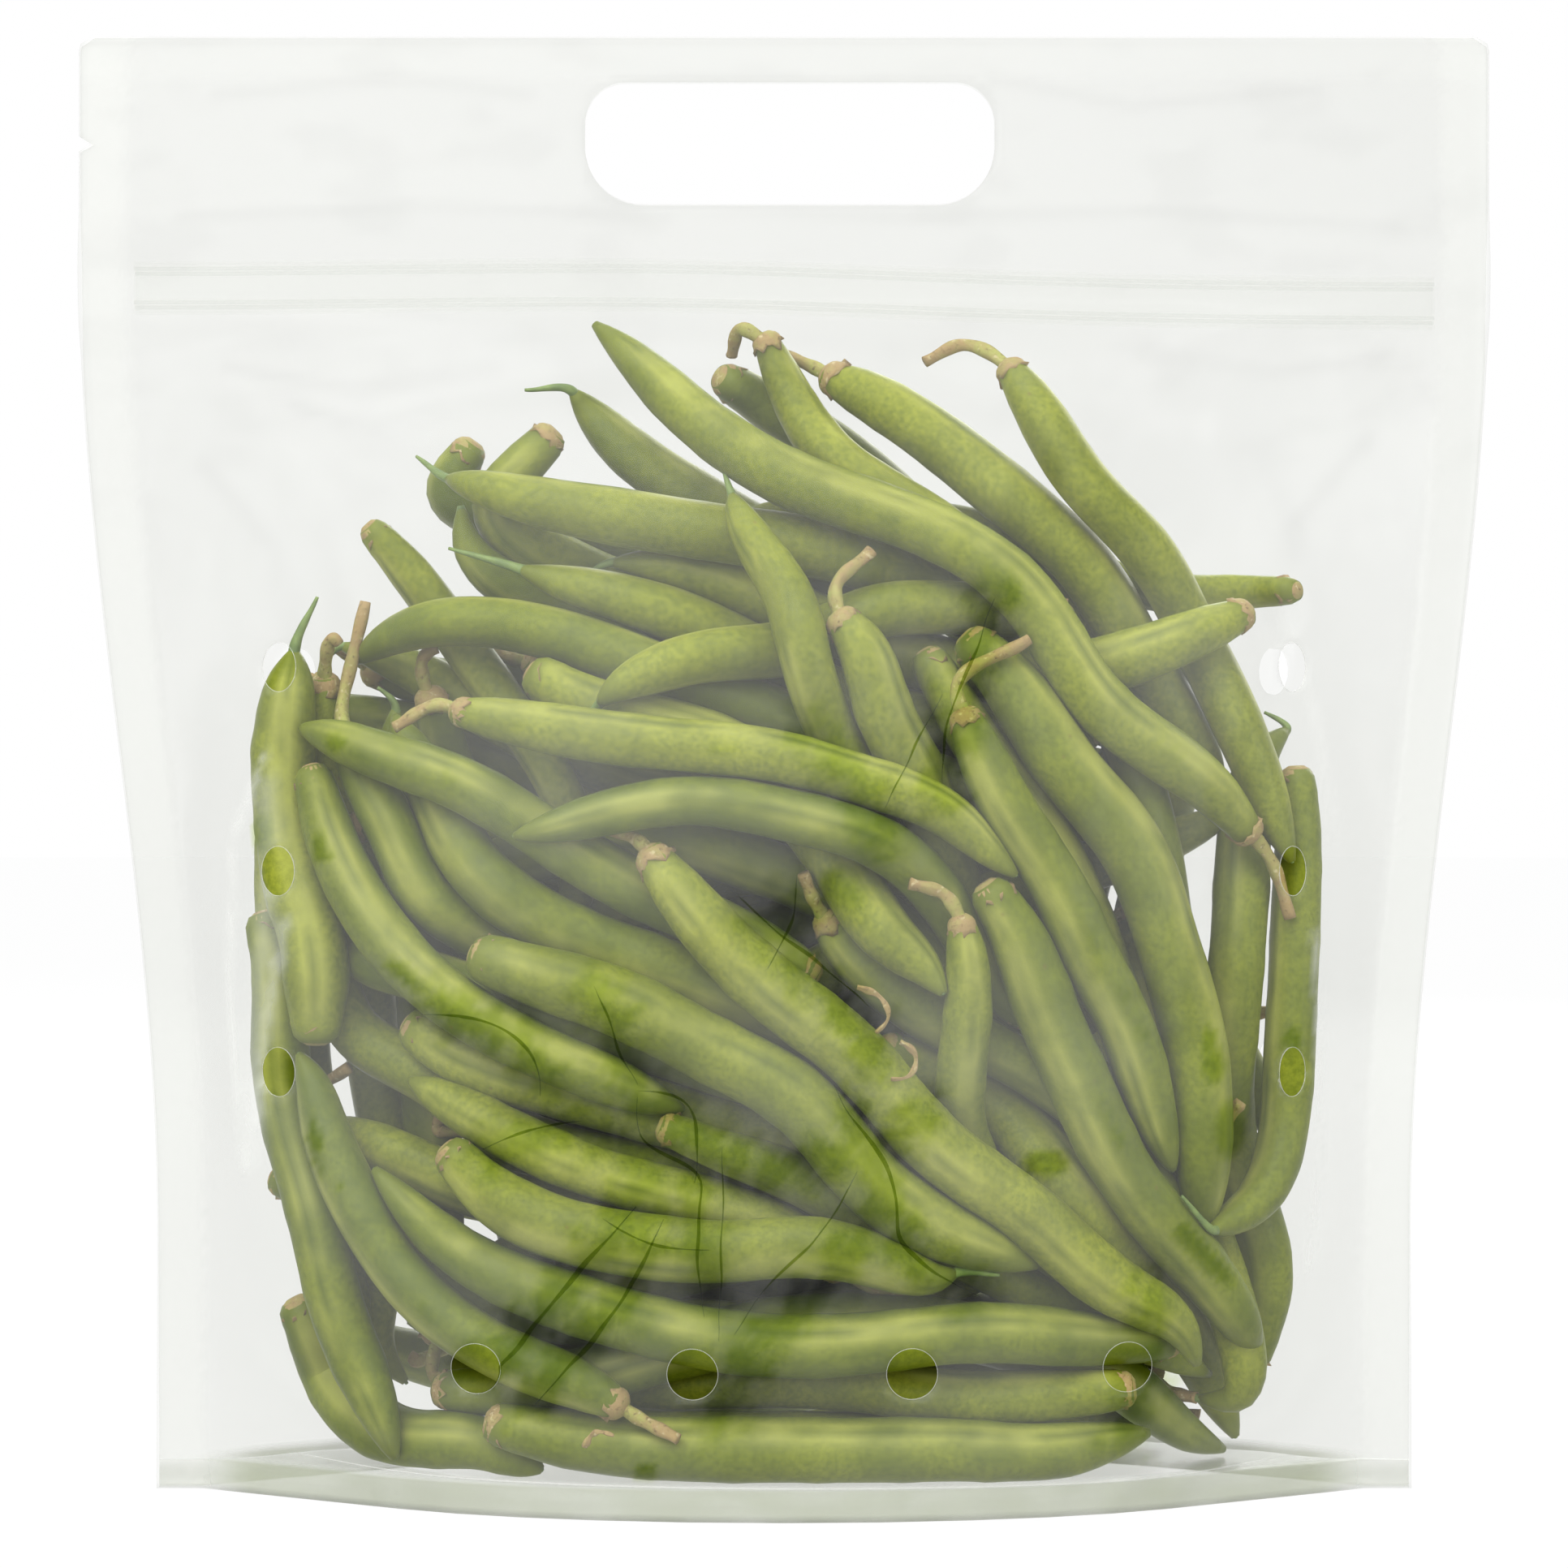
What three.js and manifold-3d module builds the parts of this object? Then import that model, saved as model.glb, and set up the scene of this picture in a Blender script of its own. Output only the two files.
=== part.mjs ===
// A clear stand-up pouch filled with loose green beans.
// Millimetres, +Z up, +X to the right, the front at -Y. The origin is the middle of the footprint, on the
// table.

import * as THREE from "three";
import { mergeVertices } from "three/addons/utils/BufferGeometryUtils.js";
import Module from "manifold-3d";

const wasm = await Module();
wasm.setup();

// Pouch: outline of the flat sheets

const POUCH_HEIGHT = 250;
const TOP_HALF_WIDTH = 121.5;
const FOOT_HALF_WIDTH = 108; // the filled belly draws the side edges in towards the foot
const TAPER_FROM = 45;
const TAPER_TO = 212;
const TOP_CORNER = 2.5;
const SIDE_SEAL = 8;
const SHEET = 0.6; // thickness of each sheet
const SEAL_HALF_GAP = 0.25; // between the middle plane and a sheet where the two are sealed
const FOOT_HALF_GAP = 1.05; // room for the gusset's two legs in the seal at the foot
const ZIP_HALF_GAP = 1.7; // room for the zip tracks
const FOOT_GAP_ENDS = 30; // the height by which the sheets have closed up over the gusset's legs
const ZIP_GAP = { full: 6, ends: 14 }; // how far from the zip's middle the sheets stay apart for it
const FIT = 0.3; // gap kept between pieces that touch

// Pouch: the filled belly, as height, half width and half depth of an ellipse

const BELLY = [
  [0, 80, 33],
  [12, 84, 34.5],
  [35, 90, 36.5],
  [68, 93, 37.5],
  [100, 94, 37],
  [130, 94, 34],
  [154, 93, 28.5],
  [174, 91, 21],
  [189, 87, 13.5],
  [198, 80, 7],
  [202.5, 72, 1.2],
  [206, 72, 0],
];

// Pouch: zip, handle, tear notch, vent holes and gusset

const ZIP_HEIGHT = 207;
const ZIP_STRIP = { height: 9, thickness: 0.5, halfLength: 112 };
const ZIP_RIB = { height: 1, reach: 1.4, pitch: 5 };
const HANDLE = { x: 1, z: 231.6, width: 70.6, height: 21, topRadius: 7, bottomRadius: 10 };
const TEAR_NOTCH = { z: 231.5, depth: 2.2, height: 2.6 };
const VENT_RADIUS = 4.2;
const VENT_ROW = { z: 24.5, xs: [-51, -15, 21, 57] };
const VENT_COLUMN = { xLeft: -86, xRight: 86, zs: [141, 106.5, 72.5] };
const GUSSET_FLOOR = 4.6;
const GUSSET_CORNER = 3;

// Beans: the heap's half width narrows towards its top

const HEAP = [
  [0, 70],
  [20, 86],
  [134, 92],
  [159, 76],
  [176, 58],
  [194, 34],
];
const BEAN_GAP = 0.35; // kept between any two beans
const FILM_MARGIN = 1.2; // kept between a bean and the film
const LAYER_STEP = 9.5; // from one layer of beans to the next, front to back
const STALK_RADIUS = 1.15;
const BEAK_RADIUS = 0.45;
const VIEW_DISTANCE = 700; // the front beans' places are read from this far away
const VIEW_HEIGHT = 121;
const FOOT_SHOWS = 6.7; // heights are read up from the front film's foot, which shows this far below z = 0

const FILM_MATERIAL = new THREE.MeshStandardMaterial({
  color: 0xf1f2f1,
  roughness: 0.2,
  transparent: true,
  opacity: 0.3,
});
const ZIP_MATERIAL = new THREE.MeshStandardMaterial({ color: 0xf4f5f5, roughness: 0.3 });
const BEAN_MATERIAL = new THREE.MeshStandardMaterial({ color: 0x8fae4e, roughness: 0.5 });

// Each front bean as it shows through the film: layer 0 lies on the film. "layer" may be a pair, at the
// stalk end and at the tip. "pod" runs from the stalk end to the tip as [x, z], and "stalk" from its free end
// to the pod. A bean with no stalk is snapped off there, and "beak" is where its thin tip ends.

const FRONT_BEANS = [
  {
    name: "bean_top_1", layer: 0, radius: 4.9, stalk: [[88, 104], [87, 113]],
    pod: [[84, 119], [75, 130], [61, 141], [40, 159], [19, 170], [-1, 179], [-16, 190], [-29, 204]],
  },
  {
    name: "bean_top_2", layer: [1, 1.5], radius: 4.3, stalk: [[-9, 201], [-7, 206]],
    pod: [[-3, 205], [3, 193], [10, 183], [20, 176], [37, 162], [50, 150], [66, 133]],
  },
  {
    name: "bean_top_3", layer: [0.7, 1.5], radius: 5.2, stalk: [[-4, 203], [2, 201]],
    pod: [[7, 198], [20, 190], [34, 178], [45, 167], [56, 153], [66, 141], [75, 128]],
  },
  {
    name: "bean_top_4", layer: 0, radius: 4.6, stalk: [[25, 201], [31, 203], [37, 200]],
    pod: [[38, 198], [44, 185], [52, 172], [63, 162], [72, 151], [80, 137], [84, 125], [87, 117]],
  },
  {
    name: "bean_top_5", layer: 2, radius: 3.5,
    pod: [[88, 163], [75, 159], [59, 158], [44, 161], [15, 167], [-12, 170]],
  },
  {
    name: "bean_top_6", layer: [2.4, 1.6], radius: 5.1,
    pod: [[45, 140], [20, 158], [-5, 174], [-19, 181], [-29, 188], [-37, 196]], beak: [-45, 196],
  },
  {
    name: "bean_top_7", layer: 1, radius: 5.2,
    pod: [[47, 142], [28, 153], [6, 164], [-7, 168], [-23, 172], [-40, 176], [-57, 181]], beak: [-63, 185],
  },
  {
    name: "bean_top_8", layer: [1.6, 0], radius: 4.3,
    pod: [[24, 108], [14, 130], [5, 157], [1, 163], [-5, 172], [-9, 178]], beak: [-11, 182],
  },
  {
    name: "bean_top_9", layer: [1.5, 2.3], radius: 4.8,
    pod: [[-10, 198], [5, 190], [20, 180], [36, 165], [52, 150], [62, 136]],
  },
  {
    name: "bean_top_10", layer: 1, radius: 4.9,
    pod: [[55, 139], [30, 145], [5, 152], [-16, 158], [-32, 162], [-46, 165]], beak: [-58, 168],
  },
  {
    name: "bean_top_11", layer: [1.2, 2.4], radius: 3.9,
    pod: [[-70, 172], [-61, 164], [-56, 157], [-46, 138], [-38, 118], [-35, 100]],
  },
  {
    name: "bean_middle_1", layer: [0, 1], radius: 4.9, stalk: [[14, 165], [7, 160]],
    pod: [[5, 155], [8, 144], [13, 133], [19, 123], [22, 114], [30, 98], [38, 84]],
  },
  {
    name: "bean_middle_2", layer: 0, radius: 4.6, stalk: [[43, 152], [31, 144]],
    pod: [[31, 140], [35, 126], [41, 112], [49, 98], [58, 83], [63, 70], [66, 64]],
  },
  {
    name: "bean_middle_3", layer: 1, radius: 4.5,
    pod: [[28, 152], [36, 139], [42, 130], [48, 120], [52, 109], [55, 98], [60, 80], [62, 64]],
  },
  {
    name: "bean_middle_4", layer: 0.4, radius: 5.6,
    pod: [[33, 154], [38, 148], [45, 137], [54, 123], [62, 108], [68, 92], [72, 77], [73, 60], [73, 52]],
  },
  {
    name: "bean_middle_5", layer: 1, radius: 4.5,
    pod: [[48, 152], [58, 137], [65, 123], [72, 108], [79, 95], [85, 84], [87, 68]],
  },
  {
    name: "bean_middle_6", layer: [0.5, 0], radius: 4.4,
    pod: [[87, 130], [88, 117], [88, 102], [87, 81], [86, 67], [81, 56], [72, 50]], beak: [65, 55],
  },
  {
    name: "bean_middle_7", layer: [1, 0], radius: 5.2,
    pod: [[-40, 150], [-19, 140], [-5, 136], [5, 127], [13, 116], [17, 111], [28, 96]],
  },
  {
    name: "bean_middle_8", layer: 0, radius: 4.4, stalk: [[-67, 136], [-60, 141]],
    pod: [[-57, 141], [-40, 138], [-23, 133], [-9, 129], [5, 125], [24, 118], [38, 112]],
  },
  {
    name: "bean_middle_9", layer: 1, radius: 4.9,
    pod: [[42, 130], [25, 140], [2, 147], [-9, 150], [-26, 151], [-44, 152], [-63, 153], [-74, 150]],
  },
  {
    name: "bean_middle_10", layer: [1.2, 0], radius: 4.9,
    pod: [[50, 158], [25, 150], [2, 146], [-9, 146], [-23, 144], [-32, 141]], beak: [-37, 136],
  },
  {
    name: "bean_middle_11", layer: [1, 0.6], radius: 4.6,
    pod: [[5, 93], [-15, 105], [-37, 119], [-51, 125], [-66, 129], [-80, 134]],
  },
  {
    name: "bean_middle_12", layer: [0.6, 0], radius: 4.2,
    pod: [[45, 86], [32, 97], [17, 111], [12, 115], [2, 120], [-12, 124], [-26, 123], [-45, 119]],
  },
  {
    name: "bean_middle_13", layer: 1, radius: 4.8,
    pod: [[30, 98], [8, 110], [-16, 117], [-26, 119], [-40, 118], [-51, 116], [-74, 110]],
  },
  {
    name: "bean_middle_14", layer: 1, radius: 5.1,
    pod: [[12, 80], [-10, 90], [-32, 96], [-44, 101], [-54, 109], [-60, 119], [-66, 136]],
  },
  {
    name: "bean_left_1", layer: 0, radius: 5.5,
    pod: [[-84, 84], [-88, 104], [-88, 123], [-88, 129], [-86, 140], [-84, 151]], beak: [-80, 160],
  },
  {
    name: "bean_left_2", layer: 1, radius: 4.3, stalk: [[-70, 160], [-75, 146], [-77, 140]],
    pod: [[-76, 138], [-74, 129], [-69, 121], [-60, 105], [-45, 90], [-30, 72]],
  },
  {
    name: "bean_left_3", layer: [0, 0.7], radius: 4.6,
    pod: [[-87, 127], [-77, 115], [-68, 105], [-57, 95], [-40, 83], [-20, 72]],
  },
  {
    name: "bean_left_4", layer: 1, radius: 4.8,
    pod: [[-86, 132], [-89, 116], [-90, 88], [-87, 60], [-80, 42], [-76, 30]],
  },
  {
    name: "bean_left_5", layer: [0.5, 0], radius: 4.8,
    pod: [[-90, 104], [-89, 67], [-81, 39], [-74, 25], [-68, 16]],
  },
  {
    name: "bean_left_6", layer: 1, radius: 4.6, stalk: [[-76, 79], [-84, 72]],
    pod: [[-82, 68], [-68, 67], [-58, 63], [-35, 60], [-5, 58], [24, 60]],
  },
  {
    name: "bean_left_7", layer: [0.8, 1.6], radius: 4.9,
    pod: [[-86, 109], [-79, 95], [-72, 87], [-60, 81], [-46, 70], [-35, 64], [-10, 57]],
  },
  {
    name: "bean_left_8", layer: [0.8, 2], radius: 4.3,
    pod: [[-89, 56], [-79, 53], [-69, 45], [-45, 33], [-20, 28], [8, 26]],
  },
  {
    name: "bean_low_1", layer: [0, 0], radius: 5.3, stalk: [[-32, 120], [-26, 118]],
    pod: [[-23, 115], [-14, 104], [-2, 92], [12, 80], [23, 67], [33, 56], [45, 45], [58, 34], [65, 25]],
  },
  {
    name: "bean_low_2", layer: 0, radius: 5,
    pod: [[69, 38], [47, 38], [26, 34], [-2, 32], [-23, 35], [-40, 41], [-57, 49], [-68, 59]],
  },
  {
    name: "bean_low_3", layer: 0, radius: 4.7, stalk: [[-19, 14], [-25, 17]],
    pod: [[-29, 19], [-46, 27], [-60, 36], [-72, 49], [-79, 63], [-82, 78]],
  },
  {
    name: "bean_low_4", layer: 1, radius: 4.9,
    pod: [[-58, 15], [-37, 18], [-15, 22], [5, 25], [21, 27], [40, 28], [54, 27], [63, 22], [74, 13]],
  },
  {
    name: "bean_low_5", layer: 0, radius: 5.2,
    pod: [[-50, 18], [-40, 16], [-23, 13], [5, 13], [30, 14], [47, 14], [60, 16]],
  },
  {
    name: "bean_low_6", layer: [0.6, 1.6], radius: 4.8,
    pod: [[56, 26], [44, 19], [21, 18], [5, 20], [-20, 21], [-45, 26], [-62, 34]],
  },
  {
    name: "bean_low_7", layer: 1.2, radius: 4.8, stalk: [[-54, 23], [-55, 15]],
    pod: [[-51, 13], [-37, 13], [-10, 13], [20, 14], [50, 13]],
  },
  {
    name: "bean_low_8", layer: 0.5, radius: 5.2,
    pod: [[18, 80], [33, 69], [47, 57], [58, 43], [68, 32], [76, 20], [79, 14]],
  },
  {
    name: "bean_low_9", layer: 0, radius: 5.2,
    pod: [[30, 107], [37, 95], [47, 81], [58, 67], [66, 56], [75, 45], [80, 34]],
  },
  {
    name: "bean_low_10", layer: [0, 0.8], radius: 4, stalk: [[22, 112], [27, 110]],
    pod: [[30, 105], [30, 95], [28, 81], [28, 67], [31, 61], [40, 50], [52, 42]],
  },
  {
    name: "bean_low_11", layer: 0.9, radius: 4.3, stalk: [[8, 116], [9, 111]],
    pod: [[11, 108], [17, 98], [24, 88], [33, 81], [41, 76], [55, 66], [68, 57]],
  },
  {
    name: "bean_low_12", layer: 1, radius: 5.1,
    pod: [[10, 66], [-14, 78], [-35, 87], [-49, 92], [-63, 96], [-77, 98]],
  },
  {
    name: "bean_low_13", layer: 0, radius: 5.6,
    pod: [[-53, 97], [-35, 93], [-16, 85], [5, 76], [12, 70], [30, 58], [44, 50]],
  },
  {
    name: "bean_low_14", layer: 1, radius: 5.2,
    pod: [[-62, 90], [-47, 84], [-35, 80], [-19, 74], [-2, 69], [13, 67], [36, 62]],
  },
  {
    name: "bean_low_15", layer: 0.8, radius: 4.2,
    pod: [[-19, 69], [-9, 67], [5, 63], [12, 60], [35, 50], [60, 38], [72, 30]],
  },
  {
    name: "bean_low_16", layer: 0, radius: 5.2,
    pod: [[-58, 64], [-49, 57], [-35, 52], [-16, 52], [5, 53], [19, 50], [30, 45]], beak: [37, 43],
  },
  {
    name: "bean_low_17", layer: 0.8, radius: 4.3, stalk: [[23, 41], [16, 40]],
    pod: [[10, 41], [2, 46], [-14, 52], [-38, 62], [-62, 76]],
  },
  {
    name: "bean_low_18", layer: [0.6, 0.4], radius: 4.8,
    pod: [[-88, 36], [-85, 27], [-76, 18], [-64, 12], [-46, 9]],
  },
];

// The beans behind them lie back and forth, each one's stalk against the tip of the one before, so a string
// of them is one body. "layer" counts from the back film.

const HIDDEN_STRINGS = [
  { name: "beans_back", layer: 0, fromZ: 154, toZ: 16, beans: 15, tilt: -8 },
  { name: "beans_inner_back", layer: 1.15, fromZ: 150, toZ: 17, beans: 13, tilt: -14 },
  { name: "beans_inner_middle", layer: 2.3, fromZ: 140, toZ: 17, beans: 11, tilt: 14 },
];
const HIDDEN_BEAN = { radius: 4.8, shortest: 104, longest: 134, tiltSpread: 34, bowSpread: 28 };
const HIDDEN_FOOT = GUSSET_FLOOR + 7; // no hidden bean's middle is placed lower
const HIDDEN_EDGE = 5; // nor nearer to the heap's edge
const SIDE_STRING = {
  name: "beans_sides",
  layer: 2,
  z: 74,
  outermost: 80,
  step: 9,
  eachSide: 3,
  crossingZ: 140,
  turn: 86,
  turnSpread: 12,
};

// Small helpers

let seed = 11;
const random = () => (seed = (seed * 1664525 + 1013904223) % 4294967296) / 4294967296;
const spread = (range) => (random() - 0.5) * range;
const lerp = (a, b, t) => a + (b - a) * t;

function smoothstep(from, to, v) {
  const t = Math.min(1, Math.max(0, (v - from) / (to - from)));
  return t * t * (3 - 2 * t);
}

// A value from a table of rows, whose first column rises, at one of its columns.
function tableAt(rows, key, column) {
  const above = rows.findIndex((row) => row[0] > key);
  if (above === 0) return rows[0][column];
  if (above < 0) return rows[rows.length - 1][column];
  const [low, high] = [rows[above - 1], rows[above]];
  return lerp(low[column], high[column], (key - low[0]) / (high[0] - low[0]));
}

const toManifold = (geometry) => {
  const bare = geometry.clone();
  bare.deleteAttribute("normal");
  bare.deleteAttribute("uv");
  const merged = mergeVertices(bare, 1e-4);
  return new wasm.Manifold(
    new wasm.Mesh({
      numProp: 3,
      vertProperties: new Float32Array(merged.attributes.position.array),
      triVerts: new Uint32Array(merged.index.array),
    }),
  );
};

const toGeometry = (solid) => {
  const mesh = solid.getMesh();
  return new THREE.BufferGeometry()
    .setAttribute("position", new THREE.BufferAttribute(new Float32Array(mesh.vertProperties), 3))
    .setIndex(new THREE.BufferAttribute(new Uint32Array(mesh.triVerts), 1));
};

// Shape of the filled pouch

const heapWidth = (z) => tableAt(HEAP, z, 1);
const bellyWidth = (z) => tableAt(BELLY, z, 1);
const bellyDepth = (z) => tableAt(BELLY, z, 2);

function halfWidth(z) {
  const taper = lerp(FOOT_HALF_WIDTH, TOP_HALF_WIDTH, smoothstep(TAPER_FROM, TAPER_TO, z));
  const intoCorner = Math.min(TOP_CORNER, Math.max(0, z - (POUCH_HEIGHT - TOP_CORNER)));
  return taper - (TOP_CORNER - Math.sqrt(TOP_CORNER ** 2 - intoCorner ** 2));
}

function halfGap(z) {
  const foot = lerp(FOOT_HALF_GAP, SEAL_HALF_GAP, smoothstep(GUSSET_FLOOR + 2, FOOT_GAP_ENDS, z));
  const atZip = 1 - smoothstep(ZIP_GAP.full, ZIP_GAP.ends, Math.abs(z - ZIP_HEIGHT));
  const zip = (ZIP_HALF_GAP - SEAL_HALF_GAP) * atZip;
  return foot + zip;
}

// Half depth of the film's inner face: round the belly, then straight from there to the side seal.
function filmDepth(x, z) {
  const belly = bellyWidth(z);
  const seal = halfWidth(z) - SIDE_SEAL;
  const leaves = (belly * belly) / seal;
  const across = Math.abs(x);
  const round = (at) => bellyDepth(z) * Math.sqrt(Math.max(0, 1 - (at / belly) ** 2));
  if (across <= leaves) return halfGap(z) + round(across);
  return halfGap(z) + round(leaves) * Math.max(0, (seal - across) / (seal - leaves));
}

// A closed sheet from two grids of points, inner and outer, [row][column], wound to face out.
function closedSheet(inner, outer) {
  const rows = inner.length;
  const columns = inner[0].length;
  const points = [...inner.flat(), ...outer.flat()];
  const at = (side, row, column) => side * rows * columns + row * columns + column;
  const faces = [];
  const quad = (a, b, c, d) => faces.push(a, b, c, a, c, d);
  for (let r = 0; r < rows - 1; r++)
    for (let c = 0; c < columns - 1; c++) {
      quad(at(1, r, c), at(1, r, c + 1), at(1, r + 1, c + 1), at(1, r + 1, c));
      quad(at(0, r, c), at(0, r + 1, c), at(0, r + 1, c + 1), at(0, r, c + 1));
    }
  for (let c = 0; c < columns - 1; c++) {
    quad(at(0, 0, c), at(0, 0, c + 1), at(1, 0, c + 1), at(1, 0, c));
    quad(at(0, rows - 1, c + 1), at(0, rows - 1, c), at(1, rows - 1, c), at(1, rows - 1, c + 1));
  }
  for (let r = 0; r < rows - 1; r++) {
    quad(at(0, r + 1, 0), at(0, r, 0), at(1, r, 0), at(1, r + 1, 0));
    const last = columns - 1;
    quad(at(0, r, last), at(0, r + 1, last), at(1, r + 1, last), at(1, r, last));
  }
  return new THREE.BufferGeometry()
    .setAttribute("position", new THREE.BufferAttribute(new Float32Array(points.flat()), 3))
    .setIndex(faces);
}

// Front and back films

const FILM_ROWS = [
  0, 8, 20, 40, 65, 90, 115, 135, 154, 172, 186, 195, 200.5, 204, 211, 220, 242, 247.5, POUCH_HEIGHT,
];
// Shares of the way from the middle to where the film leaves the belly.
const FILM_COLUMNS = [0, 0.25, 0.48, 0.68, 0.85, 1];

const BEND_AT_SEAL = 0.5; // this near a side seal the sheet is already flat

// Where the film's columns cross a height, from the left edge to the right.
function filmXs(z) {
  const seal = halfWidth(z) - SIDE_SEAL;
  const leaves = bellyWidth(z) ** 2 / seal;
  const right = FILM_COLUMNS.map((share) => share * leaves);
  right.push((leaves + seal) / 2, seal, halfWidth(z));
  return [...right.slice(1).reverse().map((x) => -x), ...right];
}

// The front's outward normal, level with the table, and how much the thickness spreads along it.
function filmOutward(x, z) {
  const step = 0.5;
  const slopeX = (filmDepth(x + step, z) - filmDepth(x - step, z)) / (2 * step);
  const slopeZ = (filmDepth(x, z + step) - filmDepth(x, z - step)) / (2 * step);
  const level = Math.hypot(slopeX, 1);
  return { x: -slopeX / level, y: -1 / level, stretch: Math.hypot(slopeX, 1, slopeZ) / level };
}

function filmSheet() {
  const inner = [];
  const outer = [];
  for (const z of FILM_ROWS) {
    const xs = filmXs(z);
    inner.push(xs.map((x) => [x, -filmDepth(x, z), z]));
    outer.push(
      xs.map((x) => {
        const flat = Math.abs(x) > halfWidth(z) - SIDE_SEAL - BEND_AT_SEAL;
        const out = flat ? { x: 0, y: -1, stretch: 1 } : filmOutward(x, z);
        const reach = SHEET * out.stretch;
        return [x + out.x * reach, -filmDepth(x, z) + out.y * reach, z];
      }),
    );
  }
  return closedSheet(inner, outer);
}

function handleCutter() {
  const { width, height, topRadius, bottomRadius } = HANDLE;
  const [w, h] = [width / 2, height / 2];
  const shape = new THREE.Shape();
  shape.absarc(w - bottomRadius, -h + bottomRadius, bottomRadius, -Math.PI / 2, 0);
  shape.absarc(w - topRadius, h - topRadius, topRadius, 0, Math.PI / 2);
  shape.absarc(-w + topRadius, h - topRadius, topRadius, Math.PI / 2, Math.PI);
  shape.absarc(-w + bottomRadius, -h + bottomRadius, bottomRadius, Math.PI, 1.5 * Math.PI);
  const cutterDepth = 20;
  return new THREE.ExtrudeGeometry(shape, { depth: cutterDepth, bevelEnabled: false, curveSegments: 5 })
    .translate(0, 0, -cutterDepth / 2)
    .rotateX(Math.PI / 2)
    .translate(HANDLE.x, 0, HANDLE.z);
}

function notchCutter() {
  const edge = -halfWidth(TEAR_NOTCH.z);
  const shape = new THREE.Shape([
    new THREE.Vector2(edge - 1, TEAR_NOTCH.height / 2),
    new THREE.Vector2(edge - 1, -TEAR_NOTCH.height / 2),
    new THREE.Vector2(edge + TEAR_NOTCH.depth, 0),
  ]);
  const cutterDepth = 10;
  return new THREE.ExtrudeGeometry(shape, { depth: cutterDepth, bevelEnabled: false })
    .translate(0, 0, -cutterDepth / 2)
    .rotateX(Math.PI / 2)
    .translate(0, 0, TEAR_NOTCH.z);
}

// A vent hole is punched square to the front film.
function ventCutter(x, z) {
  const out = filmOutward(x, z);
  const turn = Math.atan2(out.x, -out.y);
  const [cutterDepth, sides] = [8, 12];
  return new THREE.CylinderGeometry(VENT_RADIUS, VENT_RADIUS, cutterDepth, sides)
    .rotateZ(turn)
    .translate(x, -filmDepth(x, z), z);
}

function frontFilm() {
  let film = toManifold(filmSheet());
  film = film.subtract(toManifold(handleCutter())).subtract(toManifold(notchCutter()));
  const vents = VENT_ROW.xs.map((x) => [x, VENT_ROW.z]);
  for (const z of VENT_COLUMN.zs) vents.push([VENT_COLUMN.xLeft, z], [VENT_COLUMN.xRight, z]);
  for (const [x, z] of vents) film = film.subtract(toManifold(ventCutter(x, z)));
  return toGeometry(film);
}

// The back film mirrors the front one.
function mirroredToBack(geometry) {
  const back = geometry.clone().scale(1, -1, 1);
  const index = back.index.array;
  for (let i = 0; i < index.length; i += 3) [index[i + 1], index[i + 2]] = [index[i + 2], index[i + 1]];
  return back;
}

// Gusset: one sheet folded up inside the foot, its legs down to the table inside the front and back films

function gussetSheet() {
  const columns = 17;
  const leastHalf = 0.08; // half the room left inside, where the legs meet in the side seals
  const inner = [];
  const outer = [];
  for (let c = 0; c < columns; c++) {
    const share = (2 * c) / (columns - 1) - 1;
    const x = FOOT_HALF_WIDTH * Math.sin((share * Math.PI) / 2);
    const leg = filmDepth(x, 0) - FIT;
    const corner = Math.min(GUSSET_CORNER, Math.max(0, leg - SHEET - 0.2));
    const outerPath = [
      [-leg, 0],
      [-leg, GUSSET_FLOOR - corner * 0.5],
      [-leg + corner, GUSSET_FLOOR + SHEET],
      [0, GUSSET_FLOOR + SHEET],
    ];
    const innerPath = [
      [-leg + SHEET, 0],
      [-leg + SHEET, GUSSET_FLOOR - corner * 0.5 - SHEET],
      [Math.min(-leg + corner + SHEET / 2, -leastHalf), GUSSET_FLOOR],
      [0, GUSSET_FLOOR],
    ];
    const whole = (path) => [...path, ...path.slice(0, -1).reverse().map(([y, z]) => [-y, z])];
    outer.push(whole(outerPath).map(([y, z]) => [x, y, z]));
    inner.push(whole(innerPath).map(([y, z]) => [x, y, z]));
  }
  return closedSheet(outer, inner);
}

// Zip: a strip with two ribs on each side, each rib just above or below its partner

function zipTrack(side) {
  const { height, thickness, halfLength } = ZIP_STRIP;
  const back = ZIP_HALF_GAP - FIT;
  const face = back - thickness;
  const ribShift = side < 0 ? -ZIP_RIB.height / 2 - FIT / 2 : ZIP_RIB.height / 2 + FIT / 2;
  const profile = [[back, -height / 2], [back, height / 2], [face, height / 2]];
  for (const rib of [ZIP_RIB.pitch / 2, -ZIP_RIB.pitch / 2]) {
    const centre = rib + ribShift;
    const [top, bottom] = [centre + ZIP_RIB.height / 2, centre - ZIP_RIB.height / 2];
    profile.push([face, top], [face - ZIP_RIB.reach, top], [face - ZIP_RIB.reach, bottom], [face, bottom]);
  }
  profile.push([face, -height / 2]);
  const shape = new THREE.Shape(profile.map(([y, z]) => new THREE.Vector2(side * y, z)));
  const [x, y, z] = [new THREE.Vector3(1, 0, 0), new THREE.Vector3(0, 1, 0), new THREE.Vector3(0, 0, 1)];
  return new THREE.ExtrudeGeometry(shape, { depth: 2 * halfLength, bevelEnabled: false })
    .translate(0, 0, -halfLength)
    .applyMatrix4(new THREE.Matrix4().makeBasis(y, z, x))
    .translate(0, 0, ZIP_HEIGHT);
}

// Beans: each is a chain of round sections, from the stalk end to the tip

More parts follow.
